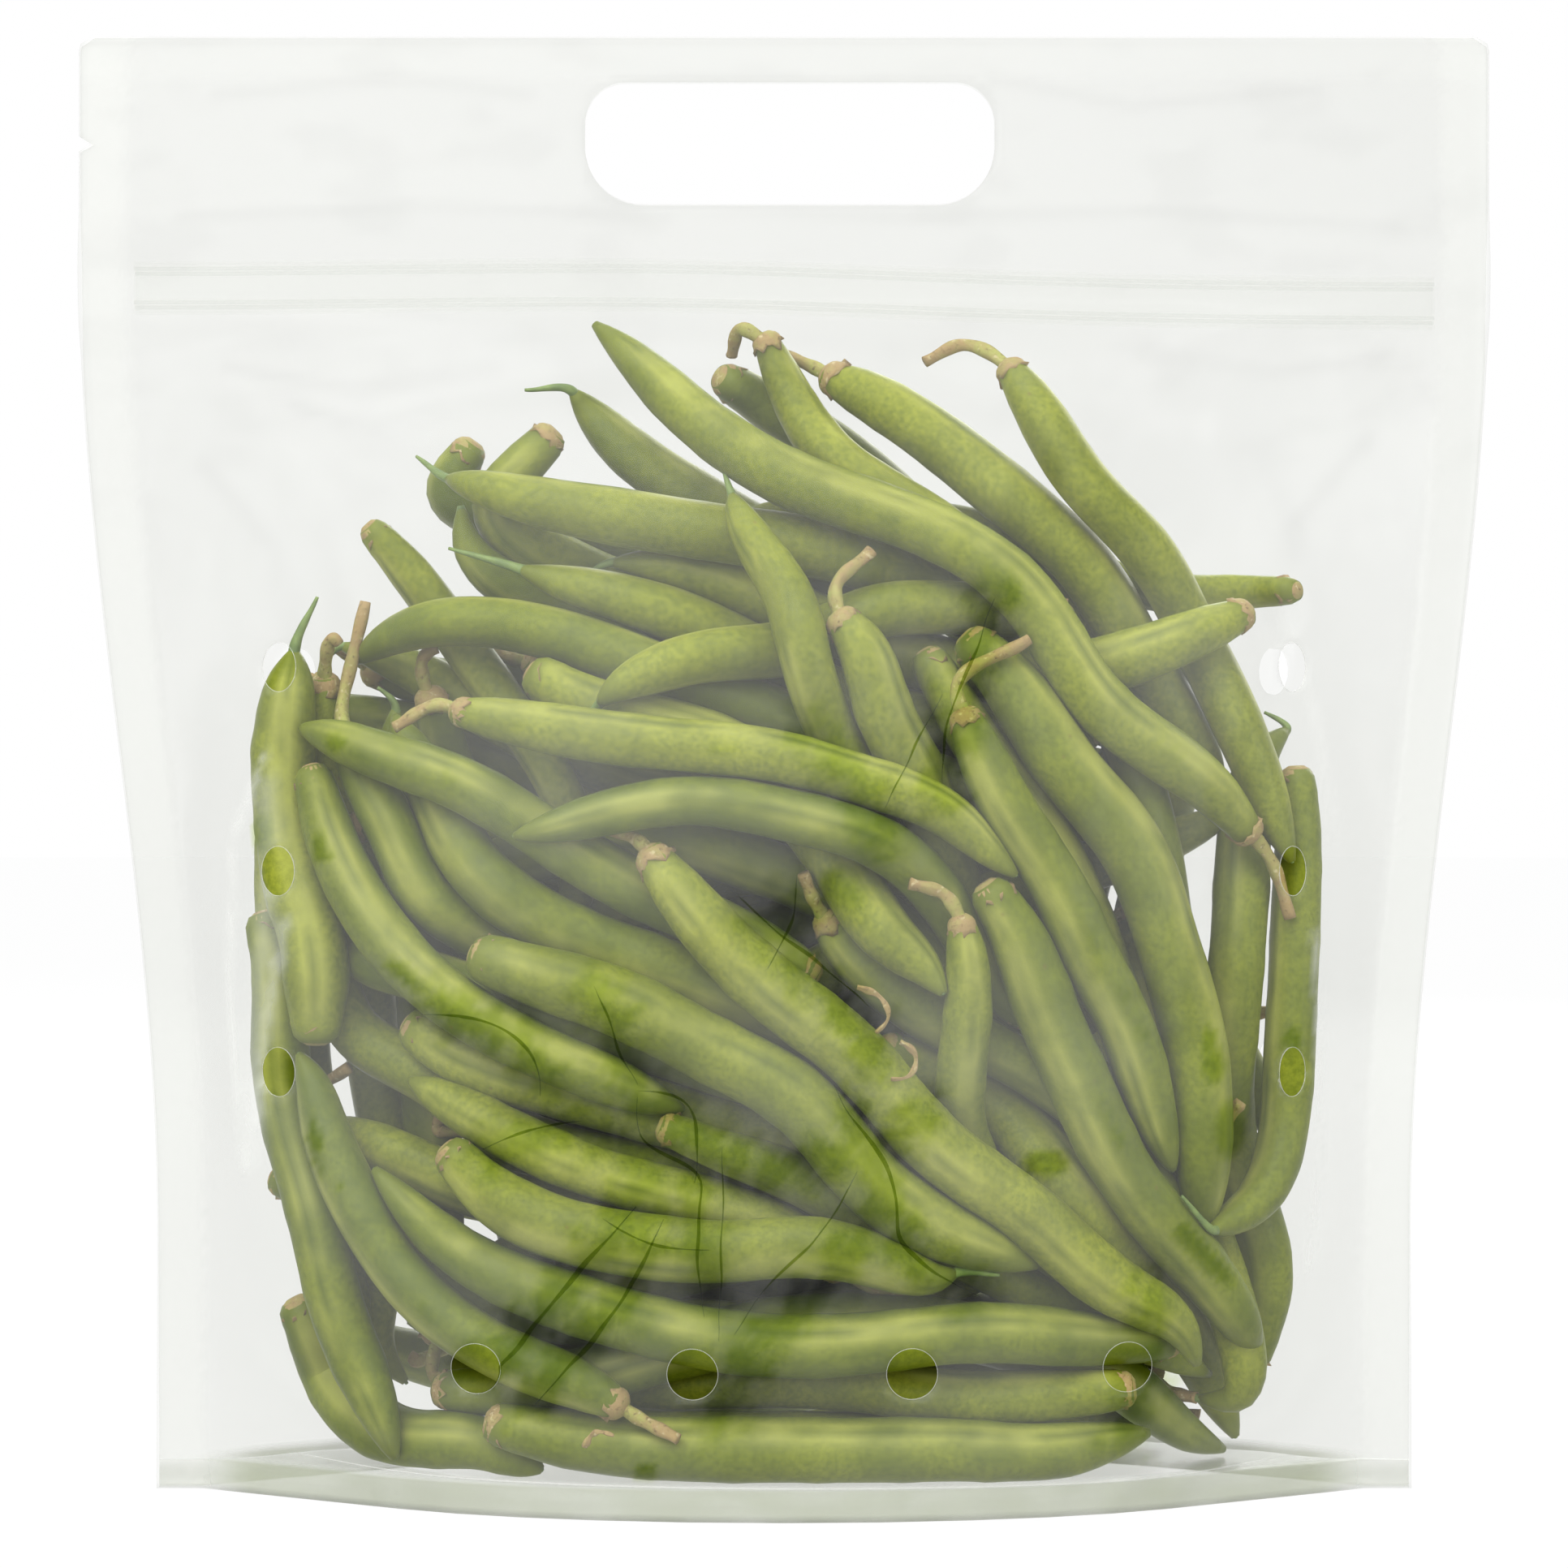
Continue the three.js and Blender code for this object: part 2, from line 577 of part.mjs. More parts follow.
// Share of the pod's length and of its radius at each section.
const POD_SECTIONS = [
  [0, 0.62], [0.08, 0.94], [0.24, 1], [0.4, 1.02],
  [0.56, 1], [0.72, 0.98], [0.88, 0.86], [0.97, 0.42],
];
const HIDDEN_SECTIONS = [[0, 0.6], [0.12, 1], [0.34, 1.02], [0.56, 1], [0.8, 0.95], [0.96, 0.45]];

const BEAK_LENGTH = 3; // length of a beak with no place of its own
const LEAD = { from: -0.06, to: 1.02, radius: 0.8 }; // a hidden bean's thin ends, past its pod
const SIDES = { shown: 6, hidden: 5 }; // of a bean's faceted tube
const HOLD = { shown: 3.2, hidden: 0.1 }; // how firmly a bean keeps its place while the heap settles

const curveThrough = (points) => new THREE.CatmullRomCurve3(points, false, "centripetal");
const inView = ([x, z]) => new THREE.Vector3(x, 0, z - FOOT_SHOWS);

// Depth of a bean's axis in a layer: 0 on the film, side -1 for the front film and 1 for the back.
function layerDepth(x, z, radius, layer, side) {
  const belly = Math.min(1, Math.abs(x) / bellyWidth(z));
  const film = bellyDepth(z) * Math.sqrt(1 - belly * belly);
  const most = Math.max(0, film - radius - FILM_MARGIN);
  return side * Math.max(-most, most - layer * LAYER_STEP);
}

function frontChain(bean) {
  const [stalkLayer, tipLayer] = [bean.layer].flat().length === 2 ? bean.layer : [bean.layer, bean.layer];
  const pod = curveThrough(bean.pod.map(inView));
  const sections = [];
  const place = (point, radius, along) => {
    const y = layerDepth(point.x, point.z, bean.radius, lerp(stalkLayer, tipLayer, along), -1);
    const nearness = (VIEW_DISTANCE + y) / VIEW_DISTANCE;
    const z = VIEW_HEIGHT + (point.z - VIEW_HEIGHT) * nearness;
    sections.push({ p: new THREE.Vector3(point.x * nearness, y, z), r: radius });
  };
  if (bean.stalk) {
    for (const point of bean.stalk) place(inView(point), STALK_RADIUS, 0);
    place(pod.getPointAt(0), bean.radius * 0.5, 0);
    POD_SECTIONS.slice(1).forEach(([t, share]) => place(pod.getPointAt(t), bean.radius * share, t));
  } else POD_SECTIONS.forEach(([t, share]) => place(pod.getPointAt(t), bean.radius * share, t));
  const end = pod.getPointAt(1);
  const straightOn = end.clone().addScaledVector(pod.getTangentAt(1), BEAK_LENGTH);
  const beak = bean.beak ? inView(bean.beak) : straightOn;
  if (bean.beak) place(end, BEAK_RADIUS * 2, 1);
  place(beak, BEAK_RADIUS, 1);
  return { name: bean.name, sections, sides: SIDES.shown, hold: HOLD.shown };
}

// Adds a bean of a string, by its middle and its turn from level. How far it bows is drawn at random.
function layBean(sections, { x, z, turn, layer }) {
  const { radius, shortest, longest, bowSpread } = HIDDEN_BEAN;
  const upright = Math.abs(Math.sin(turn)) > Math.SQRT1_2;
  const room = upright ? longest : 2 * heapWidth(z);
  const length = Math.min(lerp(shortest, longest, random()), room);
  const bow = spread(bowSpread);
  const middle = upright ? x : x + spread(2 * Math.max(0, heapWidth(z) - length / 2));
  const place = (t, r) => {
    const along = (t - 0.5) * length;
    const aside = bow * (4 * t * (1 - t) - 0.66); // a bowed bean lies evenly about its middle line
    const height = Math.max(z + along * Math.sin(turn) + aside * Math.cos(turn), HIDDEN_FOOT);
    const edge = heapWidth(height) - HIDDEN_EDGE;
    const turned = middle + along * Math.cos(turn) - aside * Math.sin(turn);
    const across = THREE.MathUtils.clamp(turned, -edge, edge);
    const depth = layerDepth(across, height, radius, layer, 1);
    sections.push({ p: new THREE.Vector3(across, depth, height), r });
  };
  if (sections.length) place(LEAD.from, STALK_RADIUS);
  HIDDEN_SECTIONS.forEach(([t, share]) => place(t, radius * share));
  place(LEAD.to, STALK_RADIUS * LEAD.radius);
}

const hiddenString = (name, sections) => ({ name, sections, sides: SIDES.hidden, hold: HOLD.hidden });

function levelString({ name, layer, fromZ, toZ, beans, tilt }) {
  const sections = [];
  for (let i = 0; i < beans; i++) {
    const turn = THREE.MathUtils.degToRad(tilt + spread(HIDDEN_BEAN.tiltSpread) + (i % 2 ? 180 : 0));
    layBean(sections, { x: 0, z: lerp(fromZ, toZ, i / (beans - 1)), turn, layer });
  }
  return hiddenString(name, sections);
}

// Upright beans down both sides, joined by one that crosses from the right to the left.
function sideString({ name, layer, z, outermost, step, eachSide, crossingZ, turn, turnSpread }) {
  const sections = [];
  const upright = (x, way) => {
    layBean(sections, { x, z, turn: way * THREE.MathUtils.degToRad(turn + spread(turnSpread)), layer });
  };
  for (let i = 0; i < eachSide; i++) upright(outermost - i * step, i % 2 ? -1 : 1);
  layBean(sections, { x: 0, z: crossingZ, turn: Math.PI, layer: layer + 1 });
  for (let i = eachSide - 1; i >= 0; i--) upright(i * step - outermost, i % 2 ? 1 : -1);
  return hiddenString(name, sections);
}

// Settling: the chains are moved apart until no two beans cross, and stay inside the pouch

const SETTLE = {
  rounds: 1500,
  listEvery: 10,
  reach: 5,
  pull: 0.05,
  pullEnds: 0.88,
  bend: 0.35,
  bendEnds: 0.85,
};

function settle(chains) {
  const nodes = [];
  const links = [];
  for (const chain of chains) {
    chain.first = nodes.length;
    chain.sections.forEach(({ p, r }) => nodes.push({ p: p.clone(), r, home: p.clone(), chain }));
    for (let i = chain.first; i + 1 < nodes.length; i++) {
      const rest = nodes[i].p.distanceTo(nodes[i + 1].p);
      links.push({ a: nodes[i], b: nodes[i + 1], rest, chain, i });
    }
    for (let i = chain.first + 1; i + 1 < nodes.length; i++) {
      const middle = nodes[i - 1].p.clone().add(nodes[i + 1].p).multiplyScalar(0.5);
      nodes[i].lean = nodes[i].p.clone().sub(middle);
    }
  }
  let pairs = [];
  for (let round = 0; round < SETTLE.rounds; round++) {
    const late = round / SETTLE.rounds;
    const pull = SETTLE.pull * Math.max(0, 1 - late / SETTLE.pullEnds);
    for (const node of nodes) node.p.lerp(node.home, pull * node.chain.hold);
    if (late < SETTLE.bendEnds)
      for (let i = 1; i + 1 < nodes.length; i++) bend(nodes[i - 1], nodes[i], nodes[i + 1]);
    for (const link of links) stretch(link);
    if (round % SETTLE.listEvery === 0) pairs = nearPairs(links);
    for (const [one, other] of pairs) part(one, other);
    for (const node of nodes) contain(node);
  }
  for (const { sections, first } of chains)
    sections.forEach((section, i) => section.p.copy(nodes[first + i].p));
}

const shift = new THREE.Vector3();
const shiftB = new THREE.Vector3();

function bend(before, node, after) {
  if (!node.lean || before.chain !== node.chain || after.chain !== node.chain) return;
  shift.copy(before.p).add(after.p).multiplyScalar(0.5).add(node.lean).sub(node.p);
  shift.multiplyScalar(SETTLE.bend);
  node.p.addScaledVector(shift, 0.5);
  before.p.addScaledVector(shift, -0.25);
  after.p.addScaledVector(shift, -0.25);
}

function stretch({ a, b, rest }) {
  shift.copy(b.p).sub(a.p);
  const length = shift.length();
  shift.multiplyScalar((0.5 * (length - rest)) / length);
  a.p.add(shift);
  b.p.sub(shift);
}

// Links near enough to meet soon, leaving out neighbours along one chain.
function nearPairs(links) {
  const near = [];
  const middles = links.map(({ a, b }) => a.p.clone().add(b.p).multiplyScalar(0.5));
  const reaches = links.map(({ a, b, rest }) => rest / 2 + Math.max(a.r, b.r) + SETTLE.reach / 2);
  for (let i = 0; i < links.length; i++)
    for (let j = i + 1; j < links.length; j++) {
      if (links[i].chain === links[j].chain && j - i < 4) continue;
      const reach = reaches[i] + reaches[j];
      if (middles[i].distanceToSquared(middles[j]) < reach * reach) near.push([links[i], links[j]]);
    }
  return near;
}

// Nearest shares along two segments.
function nearestShares(p1, q1, p2, q2) {
  const [d1x, d1y, d1z] = [q1.x - p1.x, q1.y - p1.y, q1.z - p1.z];
  const [d2x, d2y, d2z] = [q2.x - p2.x, q2.y - p2.y, q2.z - p2.z];
  const [rx, ry, rz] = [p1.x - p2.x, p1.y - p2.y, p1.z - p2.z];
  const a = d1x * d1x + d1y * d1y + d1z * d1z;
  const e = d2x * d2x + d2y * d2y + d2z * d2z;
  const f = d2x * rx + d2y * ry + d2z * rz;
  const c = d1x * rx + d1y * ry + d1z * rz;
  const b = d1x * d2x + d1y * d2y + d1z * d2z;
  const clamp = (v) => Math.min(1, Math.max(0, v));
  const denominator = a * e - b * b;
  let s = denominator > 1e-6 ? clamp((b * f - c * e) / denominator) : 0.5;
  const t = clamp((b * s + f) / e);
  s = clamp((b * t - c) / a);
  return [s, t];
}

// Pushes two links apart where their round sections would meet.
function part(one, other) {
  const [s, t] = nearestShares(one.a.p, one.b.p, other.a.p, other.b.p);
  shift.copy(one.a.p).lerp(one.b.p, s);
  shiftB.copy(other.a.p).lerp(other.b.p, t);
  shift.sub(shiftB);
  const distance = shift.length();
  const wanted = lerp(one.a.r, one.b.r, s) + lerp(other.a.r, other.b.r, t) + BEAN_GAP;
  if (distance >= wanted) return;
  if (distance < 1e-3) shift.set(0, 1, 0);
  else shift.multiplyScalar(1 / distance);
  const push = 0.5 * (wanted - distance);
  const shareOne = push / ((1 - s) ** 2 + s ** 2);
  const shareOther = push / ((1 - t) ** 2 + t ** 2);
  one.a.p.addScaledVector(shift, shareOne * (1 - s));
  one.b.p.addScaledVector(shift, shareOne * s);
  other.a.p.addScaledVector(shift, -shareOther * (1 - t));
  other.b.p.addScaledVector(shift, -shareOther * t);
}

// Keeps a section inside the belly's ellipse and above the gusset.
function contain(node) {
  const { p, r } = node;
  const floor = GUSSET_FLOOR + SHEET + FIT + r;
  if (p.z < floor) p.z = floor;
  const top = BELLY[BELLY.length - 2][0];
  if (p.z > top - r) p.z = top - r;
  const [w, d] = [bellyWidth(p.z), bellyDepth(p.z)];
  const g = Math.hypot(p.x / w, p.y / d);
  if (g < 0.2) return;
  const wUp = bellyWidth(p.z + 1) - bellyWidth(p.z - 1);
  const dUp = bellyDepth(p.z + 1) - bellyDepth(p.z - 1);
  const gx = p.x / (w * w * g);
  const gy = p.y / (d * d * g);
  const gz = -((p.x * p.x * wUp) / w ** 3 + (p.y * p.y * dUp) / d ** 3) / (2 * g);
  const steepness = Math.hypot(gx, gy, gz);
  const room = (1 - g) / steepness;
  const short = r + FILM_MARGIN - room;
  if (short <= 0) return;
  p.x -= (short * gx) / steepness;
  p.y -= (short * gy) / steepness;
  p.z -= (short * gz) / steepness;
}

// A closed tube through the sections, with a point at each end.
function sweep(sections, sides) {
  const count = sections.length;
  const [startPoint, endPoint] = [0.25, 0.5]; // how far the points stand out, in radii
  const tangents = sections.map(({ p }, i) => {
    const from = sections[Math.max(0, i - 1)].p;
    const to = sections[Math.min(count - 1, i + 1)].p;
    return to.clone().sub(from).normalize();
  });
  const start = tangents[0].clone();
  const points = [sections[0].p.clone().addScaledVector(start, -sections[0].r * startPoint)];
  let normal = new THREE.Vector3(0, 1, 0).cross(start).cross(start).normalize();
  sections.forEach(({ p, r }, i) => {
    normal = normal.clone().addScaledVector(tangents[i], -normal.dot(tangents[i])).normalize();
    const side = tangents[i].clone().cross(normal);
    for (let k = 0; k < sides; k++) {
      const angle = (2 * Math.PI * k) / sides;
      const point = p.clone().addScaledVector(normal, r * Math.cos(angle));
      points.push(point.addScaledVector(side, r * Math.sin(angle)));
    }
  });
  const last = sections[count - 1];
  points.push(last.p.clone().addScaledVector(tangents[count - 1], last.r * endPoint));
  const faces = [];
  const at = (ring, k) => 1 + ring * sides + (k % sides);
  for (let k = 0; k < sides; k++) {
    faces.push(0, at(0, k + 1), at(0, k));
    for (let ring = 0; ring + 1 < count; ring++) {
      faces.push(at(ring, k), at(ring, k + 1), at(ring + 1, k + 1));
      faces.push(at(ring, k), at(ring + 1, k + 1), at(ring + 1, k));
    }
    faces.push(points.length - 1, at(count - 1, k), at(count - 1, k + 1));
  }
  return new THREE.BufferGeometry().setFromPoints(points).setIndex(faces);
}

// The object

const pouchOfBeans = new THREE.Group();

function addPiece(name, geometry, material) {
  const mesh = new THREE.Mesh(geometry, material);
  mesh.name = name;
  pouchOfBeans.add(mesh);
}

const front = frontFilm();
addPiece("film_front", front, FILM_MATERIAL);
addPiece("film_back", mirroredToBack(front), FILM_MATERIAL);
addPiece("film_gusset", gussetSheet(), FILM_MATERIAL);
addPiece("zip_track_front", zipTrack(-1), ZIP_MATERIAL);
addPiece("zip_track_back", zipTrack(1), ZIP_MATERIAL);

const chains = [...FRONT_BEANS.map(frontChain), ...HIDDEN_STRINGS.map(levelString)];
chains.push(sideString(SIDE_STRING));
settle(chains);
for (const { name, sections, sides } of chains) addPiece(name, sweep(sections, sides), BEAN_MATERIAL);

export default pouchOfBeans;
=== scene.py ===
"""A clear stand-up pouch full of loose green beans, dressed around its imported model. Lengths in metres."""

import math

import bmesh
import bpy
import numpy as np
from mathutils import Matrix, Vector, noise
from mathutils.bvhtree import BVHTree


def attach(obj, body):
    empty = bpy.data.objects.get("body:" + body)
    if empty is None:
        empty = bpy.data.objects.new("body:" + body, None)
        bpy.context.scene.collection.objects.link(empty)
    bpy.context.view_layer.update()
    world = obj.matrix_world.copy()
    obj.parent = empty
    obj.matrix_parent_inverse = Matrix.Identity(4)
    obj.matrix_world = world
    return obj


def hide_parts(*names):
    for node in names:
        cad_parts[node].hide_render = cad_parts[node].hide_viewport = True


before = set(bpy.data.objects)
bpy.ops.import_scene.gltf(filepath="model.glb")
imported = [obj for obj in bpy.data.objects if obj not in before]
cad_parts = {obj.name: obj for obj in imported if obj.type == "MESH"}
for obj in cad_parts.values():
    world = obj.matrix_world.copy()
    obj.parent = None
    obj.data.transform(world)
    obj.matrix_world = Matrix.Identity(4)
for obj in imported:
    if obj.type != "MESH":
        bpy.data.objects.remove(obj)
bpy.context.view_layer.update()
MM = 0.001
draw = np.random.default_rng(7)

# Pouch

POUCH_HEIGHT = 250 * MM
TOP_HALF_WIDTH = 121.5 * MM
FOOT_HALF_WIDTH = 108 * MM
TAPER_FROM = 45 * MM
TAPER_TO = 212 * MM
TOP_CORNER = 2.5 * MM
SIDE_SEAL = 8 * MM
TOP_SEAL = 7 * MM
FILM = 0.12 * MM
FILM_CLEAR = (0.958, 0.96, 0.953)  # what one face of the film lets through
WET_CLEAR = (0.8, 0.86, 0.6)  # the same where it lies wet on a bean
FOOT_SKIRT = 5.6 * MM
ZIP_FOOT = 201 * MM
HANDLE = {"x": 1 * MM, "z": 231.6 * MM, "width": 70.6 * MM, "height": 21 * MM}
HANDLE_CORNERS = {"top": 7 * MM, "bottom": 10 * MM}
NOTCH = {"z": 231.5 * MM, "depth": 2.2 * MM, "height": 2.6 * MM}
VENT_RADIUS = 4.2 * MM
# Middle of each, and its width over its height: the film slopes at the sides, so those holes look narrow.
VENTS = [(x * MM, 24.5 * MM, 1) for x in (-51, -15, 21, 57)]
VENTS += [(x * MM, z * MM, share) for x, share in ((-85.5, 0.72), (86, 0.58)) for z in (141, 106.5, 72.5)]
FRONT_GRID = {"columns": 186, "rows": 196}
BACK_GRID = {"columns": 150, "rows": 160}
LOOK_FROM = 0.2  # distance from the middle from which rays feel for the film and the beans
BEAN_GAP = 0.4 * MM  # what the draped film keeps from a bean
DRAPE_ROUNDS = 260
CUT_REACH = 2.5 * MM  # a loose edge nearer than this to a cut-out is its rim

# Look of the film

HAZE = {"film": 0.023, "cloud": 0.024, "seal": 0.05, "skirt": 0.45}  # share that one face of the film veils
WET_LOSS = 0.92  # share of the haze that goes where the film is wet
UPPER_HAZE_SHADE = 0.55  # and higher up, where it hangs free above the beans: painted shade, since less haze keeps the film that slopes towards the overhead light from looking bright
FILM_TONE = (0.86, 0.87, 0.83)  # colour of the haze
SKIRT_SHADE_TONE = (0.47, 0.5, 0.38)  # the same at the foot: painted shade, the darker grey-green of the gusset and the beans' shade showing through
GLOSS = {"straight": 0.012, "edge_on": 0.5, "roughness": 0.24}  # share that the film mirrors, and how blurred
# Streaks where the film lies wet on the beans and has no haze, in mm across and up the front.
WET_STREAKS = [
    [(-49, 24), (-32, 43), (-21, 58)],
    [(-42, 20), (-27, 37), (-21, 51)],
    [(-30, 87), (-25, 74), (-16, 65), (-14, 49), (-12, 38)],
    [(-23, 68), (-4, 58), (11, 60), (22, 66)],
    [(11, 67), (18, 51), (20, 44), (30, 39)],
    [(13, 48), (-4, 29), (-11, 18)],
    [(25, 120), (30, 136), (35, 153)],
    [(9, 104), (-3, 98), (9, 87), (14, 76)],
    [(-56, 84), (-44, 80), (-38, 70)],
    [(-48, 60), (-34, 66), (-22, 60)],
    [(4, 130), (12, 122), (16, 112)],
    [(57, 15), (61, 26), (60, 36)],
]
WET_REACH = 4.5 * MM
# Drops held between film and bean, as middle across and up the front and half sizes, in mm.
WET_DROPS = [
    (70.7, 78.5, 1.2, 2.2), (71.8, 74.3, 1.8, 2.8), (74.6, 63.4, 2.4, 4.6), (43, 58.8, 3.6, 2.2),
    (86, 77.9, 1.6, 1.8), (-88.5, 113, 1.6, 3), (-22.7, 7.6, 1.9, 1.9), (-5, 33, 1.5, 1.3),
]
# Milky streaks where the film bends round the belly's edge: line in mm, width and added haze.
EDGE_STREAKS = [
    ([(-88, 126), (-94, 112), (-94.5, 84), (-92, 56)], 0.7, 0.16),
    ([(-88, 121), (-87, 106), (-90, 80), (-90.5, 58)], 2.2, 0.1),
    ([(-84, 98), (-88, 80), (-90, 64)], 1.2, 0.12),
    ([(90, 96), (91, 78), (91.5, 58), (89, 38)], 0.7, 0.16),
    ([(84, 150), (90, 132), (93, 112)], 0.8, 0.05),
]
# Faint creases of the empty film over the beans and in the header, shown only as painted shade: line in mm
# and width.
HEADER_CREASES = [
    ([(-104, 219), (-60, 221), (-20, 219)], 1.1),
    ([(-30, 222), (20, 219), (64, 220), (106, 217)], 1.3),
    ([(-96, 193), (-74, 189), (-50, 193)], 1.2),
    ([(62, 196), (84, 192), (104, 195)], 1.2),
    ([(-100, 176), (-88, 162), (-84, 146)], 1.6),
    ([(100, 180), (88, 166), (84, 150)], 1.6),
    ([(-84, 186), (-70, 182), (-58, 186)], 1.0),
    ([(36, 243), (60, 238), (92, 241)], 1.2),
    ([(-98, 240), (-66, 243), (-44, 240)], 1.2),
]
CREASE_SHADE = 0.011  # painted shade: share by which a faint crease darkens the film
CRUMPLE_SHADE = 0.008  # and by which the fine crumples of the header darken it
# Soft folds of the film: their line in mm, height and width.
FOLDS = [
    ([(-96, 132), (-99.5, 112), (-97, 84), (-92, 58), (-87, 34)], 0.8, 2.6),
    ([(-101, 124), (-104, 100), (-101.5, 66), (-97, 44)], -0.4, 2.6),
    ([(92, 134), (97, 112), (98, 84), (96, 52), (90, 24)], 0.7, 2.6),
    ([(101, 120), (103.5, 96), (102, 60)], -0.4, 2.6),
    ([(-70, 186), (-30, 192), (20, 190), (70, 184)], -0.7, 3.5),
    ([(58, 196), (78, 178), (90, 150)], 0.6, 3.0),
    ([(-94, 188), (-80, 170), (-72, 150)], 0.6, 3.0),
    ([(-92, 26), (-80, 16), (-66, 10)], 0.8, 1.8),
    ([(92, 24), (84, 13), (70, 9)], 0.8, 1.8),
]

# Beans

POD_PROFILE = [
    (0, 0.5), (0.02, 0.62), (0.06, 0.8), (0.12, 0.93), (0.2, 0.99), (0.4, 1.02), (0.6, 1),
    (0.74, 0.98), (0.84, 0.9), (0.9, 0.77), (0.945, 0.58), (0.975, 0.38), (0.99, 0.25), (1, 0.15),
]
POD_WIDEST = max(size for _, size in POD_PROFILE)
POD_FROM = 1.3 * MM  # a section of a chain thicker than this belongs to a pod
POD_RINGS = 66
POD_SIDES = 22
STALK_SIDES = 12
SEED_PITCH = 13.5 * MM
SEED_SWELL = (0.015, 0.045)  # least and most, as a share of the pod's radius
FLATNESS = (0.02, 0.06)
SUTURE_RIDGE = 0.022
NECK = 0.58  # radius of the neck under the calyx, as a share of the pod's
CALYX = {"sides": 18, "under": 0.8 * MM, "reach": (1.6 * MM, 2.6 * MM), "rag": (-1.1 * MM, 1.3 * MM)}
CALYX_FLARE = (0.5, 0.86, 1.02, 1.06, 1.0)
STALK = {"at_pod": 1.25 * MM, "at_end": 1.0 * MM, "shown": 9 * MM}
BEAK = {"at_pod": 0.2, "at_end": 0.28 * MM, "shown": 5 * MM, "least": 2.5 * MM}

# Camera

CAMERA_DISTANCE = 0.7
CAMERA_HEIGHT = 0.1212
PHOTO_WIDTH = 1932 * 0.14 * MM  # what the photo's width takes in, in the plane of the side seals
SENSOR = 36


def smoothstep(start, end, value):
    share = np.clip((value - start) / (end - start), 0, 1)
    return share * share * (3 - 2 * share)


def make_object(name, vertices, faces, materials, smooth=True):
    """A mesh object of the given points and faces, ready to ride."""
    mesh = bpy.data.meshes.new(name)
    mesh.from_pydata([tuple(v) for v in vertices], [], [tuple(int(i) for i in f) for f in faces])
    for material in materials:
        mesh.materials.append(material)
    mesh.polygons.foreach_set("use_smooth", [smooth] * len(mesh.polygons))
    made = bpy.data.objects.new(name, mesh)
    bpy.context.scene.collection.objects.link(made)
    return made


# Material helpers


class Nodes:
    """The node tree of a material or a world, written as calls."""

    def __init__(self, owner, end="OutputMaterial"):
        owner.use_nodes = True
        self.owner = owner
        self.tree = owner.node_tree
        self.tree.nodes.clear()
        self.output = self.tree.nodes.new("ShaderNode" + end)

    def add(self, kind, inputs=None, **settings):
        node = self.tree.nodes.new("ShaderNode" + kind)
        for key, value in settings.items():
            setattr(node, key, value)
        for key, value in (inputs or {}).items():
            if isinstance(value, bpy.types.NodeSocket):
                self.tree.links.new(value, node.inputs[key])
            else:
                node.inputs[key].default_value = value
        return node

    def noise(self, place, scale, detail=3, roughness=0.55):
        inputs = {"Vector": place, "Scale": scale, "Detail": detail, "Roughness": roughness}
        return self.add("TexNoise", inputs).outputs["Fac"]

    def math(self, operation, a, b=0.0, clamp=False):
        return self.add("Math", {0: a, 1: b}, operation=operation, use_clamp=clamp).outputs[0]

    def ramp(self, value, start, end, low=0.0, high=1.0):
        inputs = {"Value": value, "From Min": start, "From Max": end, "To Min": low, "To Max": high}
        return self.add("MapRange", inputs, interpolation_type="SMOOTHSTEP").outputs["Result"]

    def mix(self, share, first, second):
        node = self.add("Mix", data_type="RGBA")
        for socket, value in ((node.inputs[0], share), (node.inputs[6], first), (node.inputs[7], second)):
            if isinstance(value, bpy.types.NodeSocket):
                self.tree.links.new(value, socket)
            else:
                socket.default_value = value
        return node.outputs[2]

    def bump(self, height, strength, distance):
        inputs = {"Height": height, "Strength": strength, "Distance": distance}
        return self.add("Bump", inputs).outputs["Normal"]

    def finish(self, shader):
        self.tree.links.new(shader.outputs[0], self.output.inputs["Surface"])
        return self.owner


def material_nodes(name):
    return Nodes(bpy.data.materials.new(name))


def rgb(text):
    """A linear colour from an sRGB hex value."""
    parts = [int(text[i : i + 2], 16) / 255 for i in (0, 2, 4)]
    return tuple(p / 12.92 if p <= 0.04045 else ((p + 0.055) / 1.055) ** 2.4 for p in parts) + (1.0,)


